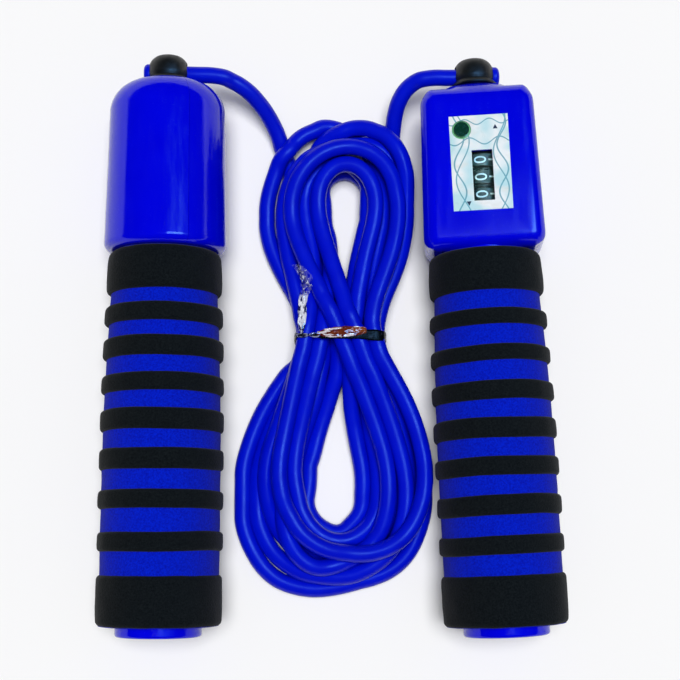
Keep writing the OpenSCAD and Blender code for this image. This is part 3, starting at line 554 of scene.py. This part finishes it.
def button_green(matrix):
    m = Material("button_plastic", (0.004, 0.10, 0.035), 0.2, Coat_Weight=0.5, Coat_Roughness=0.08)
    x, z = handle_place(m, matrix)
    squares = [m.math("POWER", m.math("SUBTRACT", value, middle), 2.0) for value, middle in zip((x, z), BUTTON)]
    reach = m.math("SQRT", m.math("ADD", *squares))
    dark = m.mix(m.noise(1.4, 3), (0.001, 0.02, 0.01), (0.002, 0.05, 0.022))
    # Past the button's edge the colour turns pale green: a painted highlight on the collar round it
    m.colour(m.mix(m.ramp(reach, *BUTTON_RIM_HIGHLIGHT), dark, (0.16, 0.5, 0.24)))
    m.roughness(m.ramp(m.noise(0.9, 4), 0.35, 0.7, 0.16, 0.34))
    return m.data


def foil():
    m = Material("tie_foil", (0.3, 0.05, 0.03), 0.2, Metallic=0.25, Coat_Weight=0.6, Coat_Roughness=0.05)
    # The pale streaks in the foil's colour are painted highlights; the foil is also smoother there
    streak = m.noise(1.5, 2, 0.5, (0.35, 1.5, 1))
    body = m.mix(m.ramp(m.noise(2.6, 2, 0.5, (0.4, 1.3, 1)), 0.44, 0.6), (0.11, 0.008, 0.006), (0.26, 0.06, 0.012))
    m.colour(m.mix(m.ramp(streak, 0.56, 0.62), body, (0.85, 0.8, 0.88)))
    m.roughness(m.ramp(streak, 0.3, 0.7, 0.3, 0.08))
    m.bump(m.noise(0.8, 2), 0.06, 0.6)
    return m.data


def black_film():
    m = Material("tie_band_film", (0.003, 0.004, 0.006), 0.35, Specular_IOR_Level=0.12)
    glint = m.ramp(m.noise(1.2, 3, 0.6, (0.4, 1, 1)), 0.6, 0.75)
    m.colour(m.mix(glint, (0.001, 0.0015, 0.002), (0.03, 0.035, 0.06)))
    m.roughness(m.ramp(m.noise(0.7, 3), 0.3, 0.7, 0.25, 0.45))
    m.bump(m.noise(0.9, 3), 0.1, 0.6)
    return m.data


def clear_film():
    """Clear with white veins above TAIL_CLEAR, cloudier below it."""
    m = Material("tie_clear_film", (0.75, 0.78, 0.86), 0.1, Coat_Weight=0.5, Coat_Roughness=0.03)
    streak = m.noise(0.8, 3, 0.6, (1, 0.3, 1))
    m.colour(m.mix(m.ramp(streak, 0.42, 0.52), (0.01, 0.012, 0.09), (0.8, 0.83, 0.92)))
    parts = m.node("ShaderNodeSeparateXYZ", {0: m.place})
    upper = m.ramp(parts.outputs["Y"], *TAIL_CLEAR)
    veins = m.ramp(m.math("ABSOLUTE", m.math("SUBTRACT", m.noise(1.7, 2), 0.5)), 0.006, 0.022, 0.9, 0.05)
    lower = m.ramp(m.noise(1.3, 2), 0.35, 0.6, 0.55, 1.0)
    lower = m.math("MULTIPLY", m.math("SUBTRACT", 1.0, upper), lower)
    m.links.new(m.math("ADD", m.math("MULTIPLY", upper, veins), lower), m.shader.inputs["Alpha"])
    m.roughness(m.ramp(streak, 0.3, 0.7, 0.05, 0.3))
    m.bump(m.noise(0.5, 3), 0.1, 0.8)
    return m.data


def wire():
    m = Material("tie_wire", (0.55, 0.58, 0.68), 0.2, Metallic=0.6)
    m.colour(m.mix(m.ramp(m.noise(0.8, 2), 0.45, 0.55), (0.02, 0.025, 0.16), (0.62, 0.66, 0.85)))
    m.roughness(m.ramp(m.noise(0.4, 2), 0.3, 0.7, 0.12, 0.35))
    return m.data


def floor_white():
    """White where it is seen or mirrored and greyer for the light it sends back; the backdrop glows a little."""
    m = Material("floor_white", (0.925, 0.925, 0.925), 0.75, Specular_IOR_Level=0.1,
                 Emission_Color=(0.94, 0.94, 0.945, 1))
    seen = m.mix(m.noise(60, 2), (0.925, 0.925, 0.925), (0.94, 0.94, 0.94))
    path = m.node("ShaderNodeLightPath").outputs
    mirrored = m.math("MAXIMUM", path["Is Glossy Ray"], path["Is Transmission Ray"])
    direct = m.math("MAXIMUM", path["Is Camera Ray"], mirrored)
    m.colour(m.mix(direct, (0.4, 0.4, 0.42), seen))
    height = m.node("ShaderNodeSeparateXYZ", {0: m.place}).outputs["Z"]
    glow = m.math("MULTIPLY", direct, m.ramp(height, 0.0, 0.3, 0.0, 0.7))
    m.links.new(glow, m.shader.inputs["Emission Strength"])
    m.data.cycles.emission_sampling = "NONE"
    m.bump(m.noise(1.5, 3), 0.01)
    return m.data


# ---------------------------------------------------------------- places, in millimetres
# Each handle's own frame: its axis is z, the station, counted from the head's top end; y is out of its face
AXIS_HEIGHT = 17.4
PLAIN = Matrix.Translation((-48.0613, 74.9868, AXIS_HEIGHT)) @ turn("X", 90) @ turn("Z", 64)
COUNTER = Matrix.Translation((41.3387, 74.9868, AXIS_HEIGHT)) @ turn("Z", 2.5) @ turn("X", 90) @ turn("Z", 6)
MODEL = Matrix.Identity(4)
# In the counter handle's frame: the button's middle (x, station) and the radii beyond which its rim is painted
# pale as a highlight; the number wheels' axis (x, y), radius and stations
BUTTON, BUTTON_RIM_HIGHLIGHT = (-4.9, 16.3), (2.14, 2.22)
DRUM, WHEEL_RADIUS = (0.5, 5.5), 6.5
WHEELS = (("units", 24.7), ("tens", 29.7), ("hundreds", 34.7))
# The tie: the y at which it goes round the strands, and the y, in metres, over which its tail turns clear
TIE_Y, TAIL_CLEAR = 2.0, (0.0125, 0.0145)

finish = {
    "blue_shell": blue_shell(), "blue_foam": blue_foam(), "black_foam": black_foam(), "black_cap": black_cap(),
    "steel": steel(), "brass_gear": brass(), "white_gear": white_gear(), "number_wheel": wheel_green(),
    "label": label_print(COUNTER), "lens": lens_clear(), "green_button": button_green(COUNTER),
    "rope": rope_plastic(), "tie": foil(),
}
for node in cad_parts.values():
    for slot in node.material_slots:
        slot.material = finish[slot.material.name.split(".")[0]]


# ---------------------------------------------------------------- mesh helpers
def piece(name, verts, faces, matrix, material, body, smooth=True):
    """A mesh piece from points in millimetres in a frame, riding on a body."""
    made = mesh_object(name, [(matrix @ Vector(v)) * MM for v in verts], faces, smooth)
    made.data.materials.append(material)
    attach(made, body)
    return made


def cad_form(node, matrix):
    """A CAD node's own points, in millimetres in a handle's frame, and its faces."""
    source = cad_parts[node].data
    to_local = matrix.inverted() @ Matrix.Scale(1 / MM, 4)
    return [to_local @ v.co for v in source.vertices], [tuple(p.vertices) for p in source.polygons]


def keep_edges(made):
    """Edges of more than 32 degrees stay crisp on a smooth piece."""
    made.data.set_sharp_from_angle(angle=math.radians(32))


def revolve(outline, verts, faces, seed, rough, sway=0.0):
    """A closed outline of (radius, station) points turned round the handle's axis, with a little unevenness."""
    start, n, segments = len(verts), len(outline), 128
    for j in range(segments):
        angle = 2 * math.pi * j / segments
        c, s = math.cos(angle), math.sin(angle)
        drift = sway * noise.noise(Vector((c * 0.9, s * 0.9, seed * 7.3)))
        for r, z in outline:
            bump = rough * noise.noise(Vector((c * r * 0.22, s * r * 0.22, z * 0.22 + seed)))
            verts.append(((r + bump) * s, (r + bump) * c, z + drift))
    for j in range(segments):
        a, b = start + j * n, start + (j + 1) % segments * n
        for i in range(n):
            k = (i + 1) % n
            faces.append((a + i, a + k, b + k, b + i))


# ---------------------------------------------------------------- the heads' shells, caps and spring
# The counter head in its own frame: the stations at which its rounded top ends and its rounded foot starts,
# half its width, how far out its front is, and half its foot's width
HEAD_TOP, HEAD_FOOT = 8.5, 46
HEAD_HALF, HEAD_FRONT, FOOT_HALF = 16, 14, 17.1
# How far its top edge comes down at the corners, and the stations at which the two ends are cut
TOP_DROP = 2.3
TOP_CUTS = (0.1, 0.25, 0.5, 0.8, 1.2, 1.7, 2.3, 3, 3.8, 4.5, 5.3, 6.2, 7.2, HEAD_TOP)
FOOT_CUTS = (HEAD_FOOT, 46.8, 47.5, 48.1, 48.6, 49.1, 49.5, 49.8)
# The station at which a cap's dome starts, and the dome's height
CAP_SHOULDER, CAP_DOME = -2.0, 5.8


def quarter(depth, radius):
    """How far a quarter circle has drawn in at a depth of 0 to 1 from its start."""
    return radius * (1 - math.sqrt(max(0.0, 1 - min(1.0, max(0.0, depth)) ** 2)))


def round_over(x, y, z):
    """The head's two ends drawn in to softer corners; the middle round the shaft stays as it is."""
    if z > HEAD_FOOT:
        drawn_in = quarter((z - HEAD_FOOT) / 4, 3.2)
        across = (FOOT_HALF - drawn_in) / (FOOT_HALF - quarter((z - 47.5) / 2.5, 1.14))
        out = (HEAD_FRONT - drawn_in) / HEAD_FRONT
        return (x * across if abs(x) > 12 else x), (y * out if y > 10 else y), z
    if z > HEAD_TOP:
        return x, y, z
    half, soft = HEAD_HALF - quarter(1 - z / 4.5, 2.8), HEAD_HALF - quarter(1 - z / 7.5, 5.6)
    front, eased = HEAD_FRONT - quarter(1 - z / 4.5, 4.04), HEAD_FRONT - quarter(1 - z / 8, 6.4)
    drop = TOP_DROP * min(1.0, max(0.0, math.hypot(x, y) - 5) / 9) ** 1.5 * (1 - z / HEAD_TOP)
    nx = math.copysign(7 + (abs(x) - 7) * (soft - 7) / (half - 7), x) if abs(x) > 7 else x
    ny = 5.5 + (y - 5.5) * (eased - 5.5) / (front - 5.5) if y > 5.5 else y
    return nx, ny, z + drop


def add_shell(node):
    """The CAD shell's own form, cut finely across both ends and drawn in there."""
    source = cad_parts[node].data
    work = bmesh.new()
    work.from_mesh(source)
    bmesh.ops.remove_doubles(work, verts=work.verts, dist=2e-6)
    work.transform(COUNTER.inverted() @ Matrix.Scale(1 / MM, 4))
    planes = [((0, 0, z), (0, 0, 1)) for z in TOP_CUTS]
    planes += [((x, 0, 0), (1, 0, 0)) for x in np.arange(-15.0, 15.1, 1.5)]
    planes += [((0, y, 0), (0, 1, 0)) for y in np.arange(-15.2, 13.6, 1.6)]
    planes += [((0, 0, z), (0, 0, 1)) for z in FOOT_CUTS]
    for place, way in planes:
        near = [f for f in work.faces
                if min(v.co.z for v in f.verts) < HEAD_TOP or max(v.co.z for v in f.verts) > HEAD_FOOT]
        parts = list({v for f in near for v in f.verts}) + list({e for f in near for e in f.edges}) + near
        bmesh.ops.bisect_plane(work, geom=parts, dist=1e-4, plane_co=place, plane_no=way)
    verts = [round_over(*v.co) for v in work.verts]
    work.verts.index_update()
    faces = [[v.index for v in f.verts] for f in work.faces]
    work.free()
    shell = piece(node + "_rounded", verts, faces, COUNTER, finish["blue_shell"], "counter_handle")
    keep_edges(shell)
    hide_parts(node)


def full_dome(x, y, z):
    """The cap's round dome made fuller at the shoulder and a little taller, as in the photograph."""
    depth = CAP_SHOULDER - z
    if depth <= 0:
        return x, y, z
    share = min(depth / CAP_DOME, 0.999)
    fuller = 1.06 * (1 - share ** 2.8) ** (1 / 2.8) / math.sqrt(1 - share ** 2)
    wider = 1 + (min(fuller, 1.5) - 1) * min(1, depth / 0.6)
    return x * wider, y * wider, z - 0.18 * depth


def add_cap(node, matrix):
    points, faces = cad_form(node, matrix)
    points = [full_dome(*p) for p in points]
    cap = piece(node + "_dome", points, faces, matrix, finish["black_cap"], "rope")
    keep_edges(cap)
    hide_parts(node)


def add_spring():
    """The reset spring's own form, on the counter handle; it keeps its length over the button's travel of 1.5 mm.
    """
    verts, faces = cad_form("reset_spring", COUNTER)
    coil = piece("reset_spring_coil", verts, faces, COUNTER, finish["steel"], "counter_handle",
                 smooth=False)
    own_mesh(coil)
    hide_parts("reset_spring")


add_shell("counter_front_shell")
add_shell("counter_rear_shell")
add_cap("plain_swivel_cap", PLAIN)
add_cap("counter_swivel_cap", COUNTER)
add_spring()


# ---------------------------------------------------------------- foam grips
# Stations: the grip's ends, and the ends of its first wide band, last wide band and blue sleeve
GRIP_START, GRIP_END = 50, 154.5
FIRST_BAND, LAST_BAND, SLEEVE = (50.05, 62.5), (140.5, GRIP_END), (50.1, 154.4)
CORE_RADIUS = 12.06
RING_WIDTH, RING_GAP = 5.4, 5.025


def swell(station):
    """From 0 at the grip's start to 1 at its thickest, which it keeps to the end."""
    return math.sin(math.pi / 2 * min(1, max(0, station - GRIP_START) / (0.6 * (GRIP_END - GRIP_START))))


def ring_radius(station):
    return 16.1 + 1.3 * swell(station)


def groove_radius(station):
    return ring_radius(station) - 1.7 + 0.8 * swell(station)


def band_outline(start, end, edge_top, edge_end, crown):
    """A foam band's section: square inside, rounded at both outer edges and slightly crowned."""
    middle, half = (start + end) / 2, (end - start) / 2

    def outer(z):
        return ring_radius(z) - crown * ((z - middle) / half) ** 2

    low = groove_radius(middle) - 0.6
    quarter_turn = [math.pi / 2 * i / 5 for i in range(6)]
    points = [(low, start)]
    for a in quarter_turn:
        z = start + edge_top * (1 - math.cos(a))
        points.append((outer(z) - edge_top * (1 - math.sin(a)), z))
    for z in np.linspace(start + edge_top, end - edge_end, 7)[1:-1]:
        points.append((outer(z), float(z)))
    for a in quarter_turn:
        z = end - edge_end * (1 - math.sin(a))
        points.append((outer(z) - edge_end * (1 - math.cos(a)), z))
    points.append((low, end))
    return points


def ring_middle(index, spread):
    """The station of a ring's middle; the larger the spread, the more the gaps widen along the grip."""
    even = FIRST_BAND[1] + index * RING_WIDTH + (index + 1) * (RING_GAP - spread)
    return even + spread * index * (index + 1) / 7 + RING_WIDTH / 2


def add_grip(side, matrix, spread, widths, seed):
    body = side + "_handle"
    verts, faces = [], []
    revolve(band_outline(*FIRST_BAND, 2.0, 1.3, 0.35), verts, faces, seed, 0.16)
    for i, width in enumerate(widths):
        middle = ring_middle(i, spread)
        ring = band_outline(middle - width / 2, middle + width / 2, 1.1, 1.1, 0.12)
        revolve(ring, verts, faces, seed + i + 1, 0.14, 0.35)
    revolve(band_outline(*LAST_BAND, 1.4, 1.5, 0.12), verts, faces, seed + 9, 0.16)
    rings = piece(side + "_grip_rings", verts, faces, matrix, finish["black_foam"], body)
    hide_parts(side + "_foam_rings")
    start, end = SLEEVE
    outline = [(groove_radius(z), float(z)) for z in np.linspace(start, end, 90)]
    verts, faces = [], []
    revolve([(CORE_RADIUS, start)] + outline + [(CORE_RADIUS, end)], verts, faces, seed + 20, 0.12)
    sleeve = piece(side + "_grip_sleeve", verts, faces, matrix, finish["blue_foam"], body)
    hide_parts(side + "_foam_sleeve")


add_grip("plain", PLAIN, 1.3, (5.25, 5.75, 5.16, 6.0, 5.9, 5.25, 5.4), 1.0)
add_grip("counter", COUNTER, 0.3, (4.6, 4.6, 5.4, 5.75, 5.3, 5.65, 5.2), 40.0)


# ---------------------------------------------------------------- digits on the number wheels
def digit_shape(text):
    """A digit's outline as a flat mesh: unit height, centred, cut across so that it can bend round a wheel."""
    curve = bpy.data.curves.new("digit", "FONT")
    curve.body = text
    curve.resolution_u = 6
    holder = bpy.data.objects.new("digit", curve)
    mesh = bpy.data.meshes.new_from_object(holder)
    work = bmesh.new()
    work.from_mesh(mesh)
    ys = [v.co.y for v in work.verts]
    low, high = min(ys), max(ys)
    for level in np.linspace(low, high, 13)[1:-1]:
        parts = work.verts[:] + work.edges[:] + work.faces[:]
        bmesh.ops.bisect_plane(work, geom=parts, plane_co=(0, level, 0), plane_no=(0, 1, 0))
    xs = [v.co.x for v in work.verts]
    middle, level, height = (min(xs) + max(xs)) / 2, (low + high) / 2, high - low
    verts = [((v.co.x - middle) / height, (v.co.y - level) / height) for v in work.verts]
    faces = [[v.index for v in f.verts] for f in work.faces]
    work.free()
    bpy.data.objects.remove(holder)
    bpy.data.curves.remove(curve)
    bpy.data.meshes.remove(mesh)
    return verts, faces


DIGIT_WIDTH, DIGIT_HEIGHT, DIGIT_SHIFT = 3.3, 3.45, -0.6


def add_digits():
    print_white = digit_white()
    shapes = [digit_shape(str(d)) for d in range(10)]
    radius = WHEEL_RADIUS + 0.02
    for body, station in WHEELS:
        verts, faces = [], []
        for d, (points, loops) in enumerate(shapes):
            first = len(verts)
            for u, v in points:
                angle = DIGIT_SHIFT / WHEEL_RADIUS + math.radians(36 * d) - v * DIGIT_HEIGHT / WHEEL_RADIUS
                verts.append((DRUM[0] + radius * math.sin(angle), DRUM[1] + radius * math.cos(angle),
                              station - u * DIGIT_WIDTH))
            faces += [[first + i for i in loop] for loop in loops]
        piece(body + "_digits", verts, faces, COUNTER, print_white, body, smooth=False)


add_digits()


# ---------------------------------------------------------------- tie round the waist
def hull(points):
    """The convex outline of points in a plane, once round."""
    points = sorted(set(points))

    def turns_out(a, b, c):
        return (b[0] - a[0]) * (c[1] - a[1]) > (b[1] - a[1]) * (c[0] - a[0])

    def half(row):
        out = []
        for p in row:
            while len(out) > 1 and not turns_out(out[-2], out[-1], p):
                out.pop()
            out.append(p)
        return out[:-1]

    return half(points) + half(points[::-1])


def softened(values, rounds):
    """Values round a closed loop, evened out with their neighbours."""
    for _ in range(rounds):
        values = 0.5 * values + 0.25 * (np.roll(values, 1, 0) + np.roll(values, -1, 0))
    return values


def waist_loop(gap, step):
    """The closed loop, as (x, z) points a step apart, that a tie pulled round the strands at TIE_Y follows."""
    turn_round = np.linspace(0, 2 * math.pi, 48, endpoint=False)
    radius = D / 2 + gap
    circles = []
    for p, q in zip(line[:-1], line[1:]):
        if (p[1] - TIE_Y) * (q[1] - TIE_Y) <= 0 and p[1] != q[1]:
            share = (TIE_Y - p[1]) / (q[1] - p[1])
            x, z = p[0] + share * (q[0] - p[0]), p[2] + share * (q[2] - p[2])
            circles += [(x + radius * math.cos(a), z + radius * math.sin(a)) for a in turn_round]
    outline = hull(circles)
    ring = np.array(outline + outline[:1])
    along = distances(ring)
    ring = softened(sample(ring, along, np.linspace(0, along[-1], int(along[-1] / step) + 1)[:-1]), 6)
    ring[:, 1] = np.maximum(ring[:, 1], 0.3)
    return ring


def strip(name, path, across, up, widths, material, thick, crumple, seed, columns, closed=False):
    """A thin crumpled strip on a path, with unit vectors across and out of it and its width at each point."""
    verts, faces = [], []
    n = len(path)
    for i in range(n):
        for layer in (0, 1):
            for j in range(columns + 1):
                share = j / columns - 0.5
                base = path[i] + across[i] * share * widths[i]
                at_noise = Vector(base * 0.55) + Vector((seed, seed * 1.7, 0))
                fold = noise.noise(at_noise) + 0.5 * noise.noise(at_noise * 2.3)
                edge = noise.noise(at_noise * 1.3 + Vector((9, 3, 1))) * 0.35 * crumple * (abs(share) * 2) ** 2
                p = base + up[i] * (abs(fold) * crumple + layer * thick) + across[i] * edge
                verts.append(tuple(p))
    row = 2 * (columns + 1)
    for i in range(n if closed else n - 1):
        a, b = i * row, (i + 1) % n * row
        c, d = a + columns + 1, b + columns + 1
        for j in range(columns):
            faces.append((a + j + 1, a + j, b + j, b + j + 1))
            faces.append((c + j, c + j + 1, d + j + 1, d + j))
        faces.append((a, c, d, b))
        faces.append((a + row - 1, a + columns, b + columns, b + row - 1))
    if not closed:
        for a, flip in ((0, False), ((n - 1) * row, True)):
            for j in range(columns):
                quad = (a + j, a + j + 1, a + columns + 2 + j, a + columns + 1 + j)
                faces.append(quad[::-1] if flip else quad)
    return piece(name, verts, faces, MODEL, material, "rope")


class TieLoop:
    """The tie's loop round the waist: its points, which way is out of it, and which of them are on top."""

    def __init__(self):
        ring = waist_loop(0.25, 0.5)
        self.x, n = ring[:, 0], len(ring)
        tangent = np.roll(ring, -1, 0) - np.roll(ring, 1, 0)
        out = np.stack([tangent[:, 1], -tangent[:, 0]], 1)
        out /= np.linalg.norm(out, axis=1)[:, None]
        out *= np.sign(((ring - ring.mean(axis=0)) * out).sum(axis=1))[:, None]
        self.points = np.stack([self.x, np.full(n, TIE_Y), ring[:, 1]], 1)
        self.outward = np.stack([out[:, 0], np.zeros(n), out[:, 1]], 1)
        self.top = self.outward[:, 2] > 0.5
        self.y_axis = np.tile(np.array([0.0, 1.0, 0.0]), (n, 1))

    def on_top(self, low, high):
        """The places on top with x between the two, from left to right."""
        return sorted((i for i in range(len(self.x)) if self.top[i] and low < self.x[i] < high),
                      key=lambda i: self.x[i])


def add_band(loop):
    """The black band: wide on the right and underneath, a thin cord on the upper left."""
    width = np.full(len(loop.x), 2.2)
    width[loop.top & (loop.x > 9)] = 3.2
    width[loop.top & (loop.x <= 9)] = 2.4
    width[loop.top & (loop.x < -4.5)] = 0.7
    lean = loop.points.copy()
    lean[:, 1] += np.where(loop.top, -0.05 * (loop.x - 9).clip(0), 0)
    return strip("tie_band", lean, loop.y_axis, loop.outward, softened(width, 8), black_film(), 0.2, 0.18, 3.0,
                 columns=6, closed=True)


def add_wires(loop):
    """Two thin wires that twist over the left strands."""
    verts, faces = [], []
    for phase in (0.0, math.pi):
        path = []
        for step, i in enumerate(loop.on_top(-11.5, -3.2)):
            a = phase + step * 0.42
            path.append(loop.points[i] + loop.outward[i] * (0.55 + 0.3 * math.cos(a))
                        + np.array([0, 0.55 * math.sin(a) - 0.1, 0]))
        more, loops = tube(path, 0.22)
        faces += [tuple(i + len(verts) for i in f) for f in loops]
        verts += more
    return piece("tie_wires", verts, faces, MODEL, wire(), "rope")


def add_foil(loop):
    """The foil flag over the middle strands."""
    order = loop.on_top(-4.8, 9.8)
    xs = loop.x[order]
    share = (xs - xs[0]) / (xs[-1] - xs[0])
    width = 0.7 + 2.5 * np.sin(math.pi * np.clip(share * 0.92 + 0.02, 0, 1)) ** 0.75
    path = np.array([loop.points[i] + loop.outward[i] * 0.3 + np.array([0, 0.3 + 0.9 * s, 0])
                     for i, s in zip(order, share)])
    return strip("tie_foil", path, loop.y_axis[:len(path)], loop.outward[order], width, finish["tie"],
                 0.08, 0.55, 11.0, columns=14)


def top_of_strands(x, y, spread):
    """The highest point of the strands within a spread of x, y."""
    best = D / 2
    flat = np.hypot(line[:, 0] - x, line[:, 1] - y)
    for i in np.nonzero(flat < D / 2 + spread)[0]:
        d = max(0.0, flat[i] - spread)
        best = max(best, line[i, 2] + math.sqrt(max(0.0, (D / 2) ** 2 - d * d)))
    return best


def add_tail():
    """The clear film's end, which lies up along the left strands."""
    plan = [(-9.0, 2.6, 0), (-8.9, 6, 0), (-8.8, 9.5, 0), (-8.8, 12.5, 0),
            (-7.9, 15.4, 0), (-7.6, 18, 0), (-9.4, 21, 0), (-11.6, 23.6, 0)]
    route = catmull_rom(np.array(plan, float), 0.5)
    heights = np.array([top_of_strands(p[0], p[1], 1.0) for p in route])
    for _ in range(12):
        heights[1:-1] = np.maximum(heights[1:-1], 0.5 * (heights[:-2] + heights[2:]) - 0.02)
    route[:, 2] = heights + 0.1
    ahead = np.gradient(route, axis=0)
    ahead[:, 2] = 0
    ahead /= np.linalg.norm(ahead, axis=1)[:, None]
    across = np.stack([ahead[:, 1], -ahead[:, 0], np.zeros(len(ahead))], 1)
    up = np.tile(np.array([0.0, 0.0, 1.0]), (len(route), 1))
    width = np.interp(np.linspace(0, 1, len(route)), [0, 0.12, 0.3, 0.5, 0.62, 0.85, 1],
                      [0.8, 2.2, 2.6, 2.4, 3.6, 2.8, 0.6])
    return strip("tie_tail", route, across, up, width, clear_film(), 0.05, 0.8, 23.0, columns=12)


def add_tie():
    loop = TieLoop()
    band = add_band(loop)
    pieces = [band, add_wires(loop), add_foil(loop), add_tail()]
    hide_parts("twist_tie")
    return pieces


tie = add_tie()

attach(rope, "rope")
rope.data.materials.append(finish["rope"])
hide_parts("rope_hank", "plain_rope_lead", "counter_rope_lead")


# ---------------------------------------------------------------- floor and light
FLOOR_FLAT, FLOOR_CURVE = 2.05, 0.35


def add_floor():
    """A flat floor that curves up into a round backdrop 2.4 m away."""
    outline = [(0.0, 0.0), (0.5, 0.0)]
    for a in map(math.radians, range(0, 91, 10)):
        outline.append((FLOOR_FLAT + FLOOR_CURVE * math.sin(a), FLOOR_CURVE - FLOOR_CURVE * math.cos(a)))
    segments, n = 72, len(outline)
    verts, faces = [], []
    for k in range(segments):
        turned = 2 * math.pi * k / segments
        verts += [(r * math.cos(turned), r * math.sin(turned), z) for r, z in outline]
        a, b = k * n, (k + 1) % segments * n
        faces += [(a + i, a + i + 1, b + i + 1, b + i) for i in range(1, n - 1)]
        faces.append((a, a + 1, b + 1))
    floor = mesh_object("floor", verts, faces)
    floor.data.materials.append(floor_white())


def add_overhead():
    """The main light: a wide soft sun from straight above, which no glossy surface mirrors."""
    data = bpy.data.lights.new("overhead", "SUN")
    data.energy, data.angle = 2.8, math.radians(26)
    light = bpy.data.objects.new("overhead", data)
    light.visible_glossy = False
    scene.collection.objects.link(light)


def add_highlight(name, place, aim, size, watts, colour):
    """A soft box that glossy surfaces mirror and that lights nothing else."""
    data = bpy.data.lights.new(name, "AREA")
    data.shape = "RECTANGLE"
    data.size, data.size_y = size
    data.energy = watts
    data.color = colour
    light = bpy.data.objects.new(name, data)
    aimed = (Vector(aim) - Vector(place)).to_track_quat("-Z", "Y").to_matrix().to_4x4()
    light.matrix_world = Matrix.Translation(place) @ aimed
    light.visible_diffuse = False
    scene.collection.objects.link(light)


def add_world():
    """A dim even fill, which no glossy surface mirrors."""
    world = bpy.data.worlds.new("studio")
    world.use_nodes = True
    fill = world.node_tree.nodes["Background"].inputs
    fill["Color"].default_value = (0.95, 0.96, 1.0, 1)
    fill["Strength"].default_value = 0.14
    world.cycles_visibility.glossy = False
    scene.world = world


add_floor()
add_overhead()
add_highlight("strand_box", (0.26, 0.06, 0.75), (0, 0, 0), (0.22, 0.40), 5.0, (0.2, 0.5, 1.0))
add_highlight("right_box", (0.5, 0.30, 0.10), (0, 0.1, 0.02), (0.12, 0.08), 0.03, (0.75, 0.7, 1.0))
add_world()
scene.view_settings.view_transform = "Standard"

bpy.context.view_layer.update()
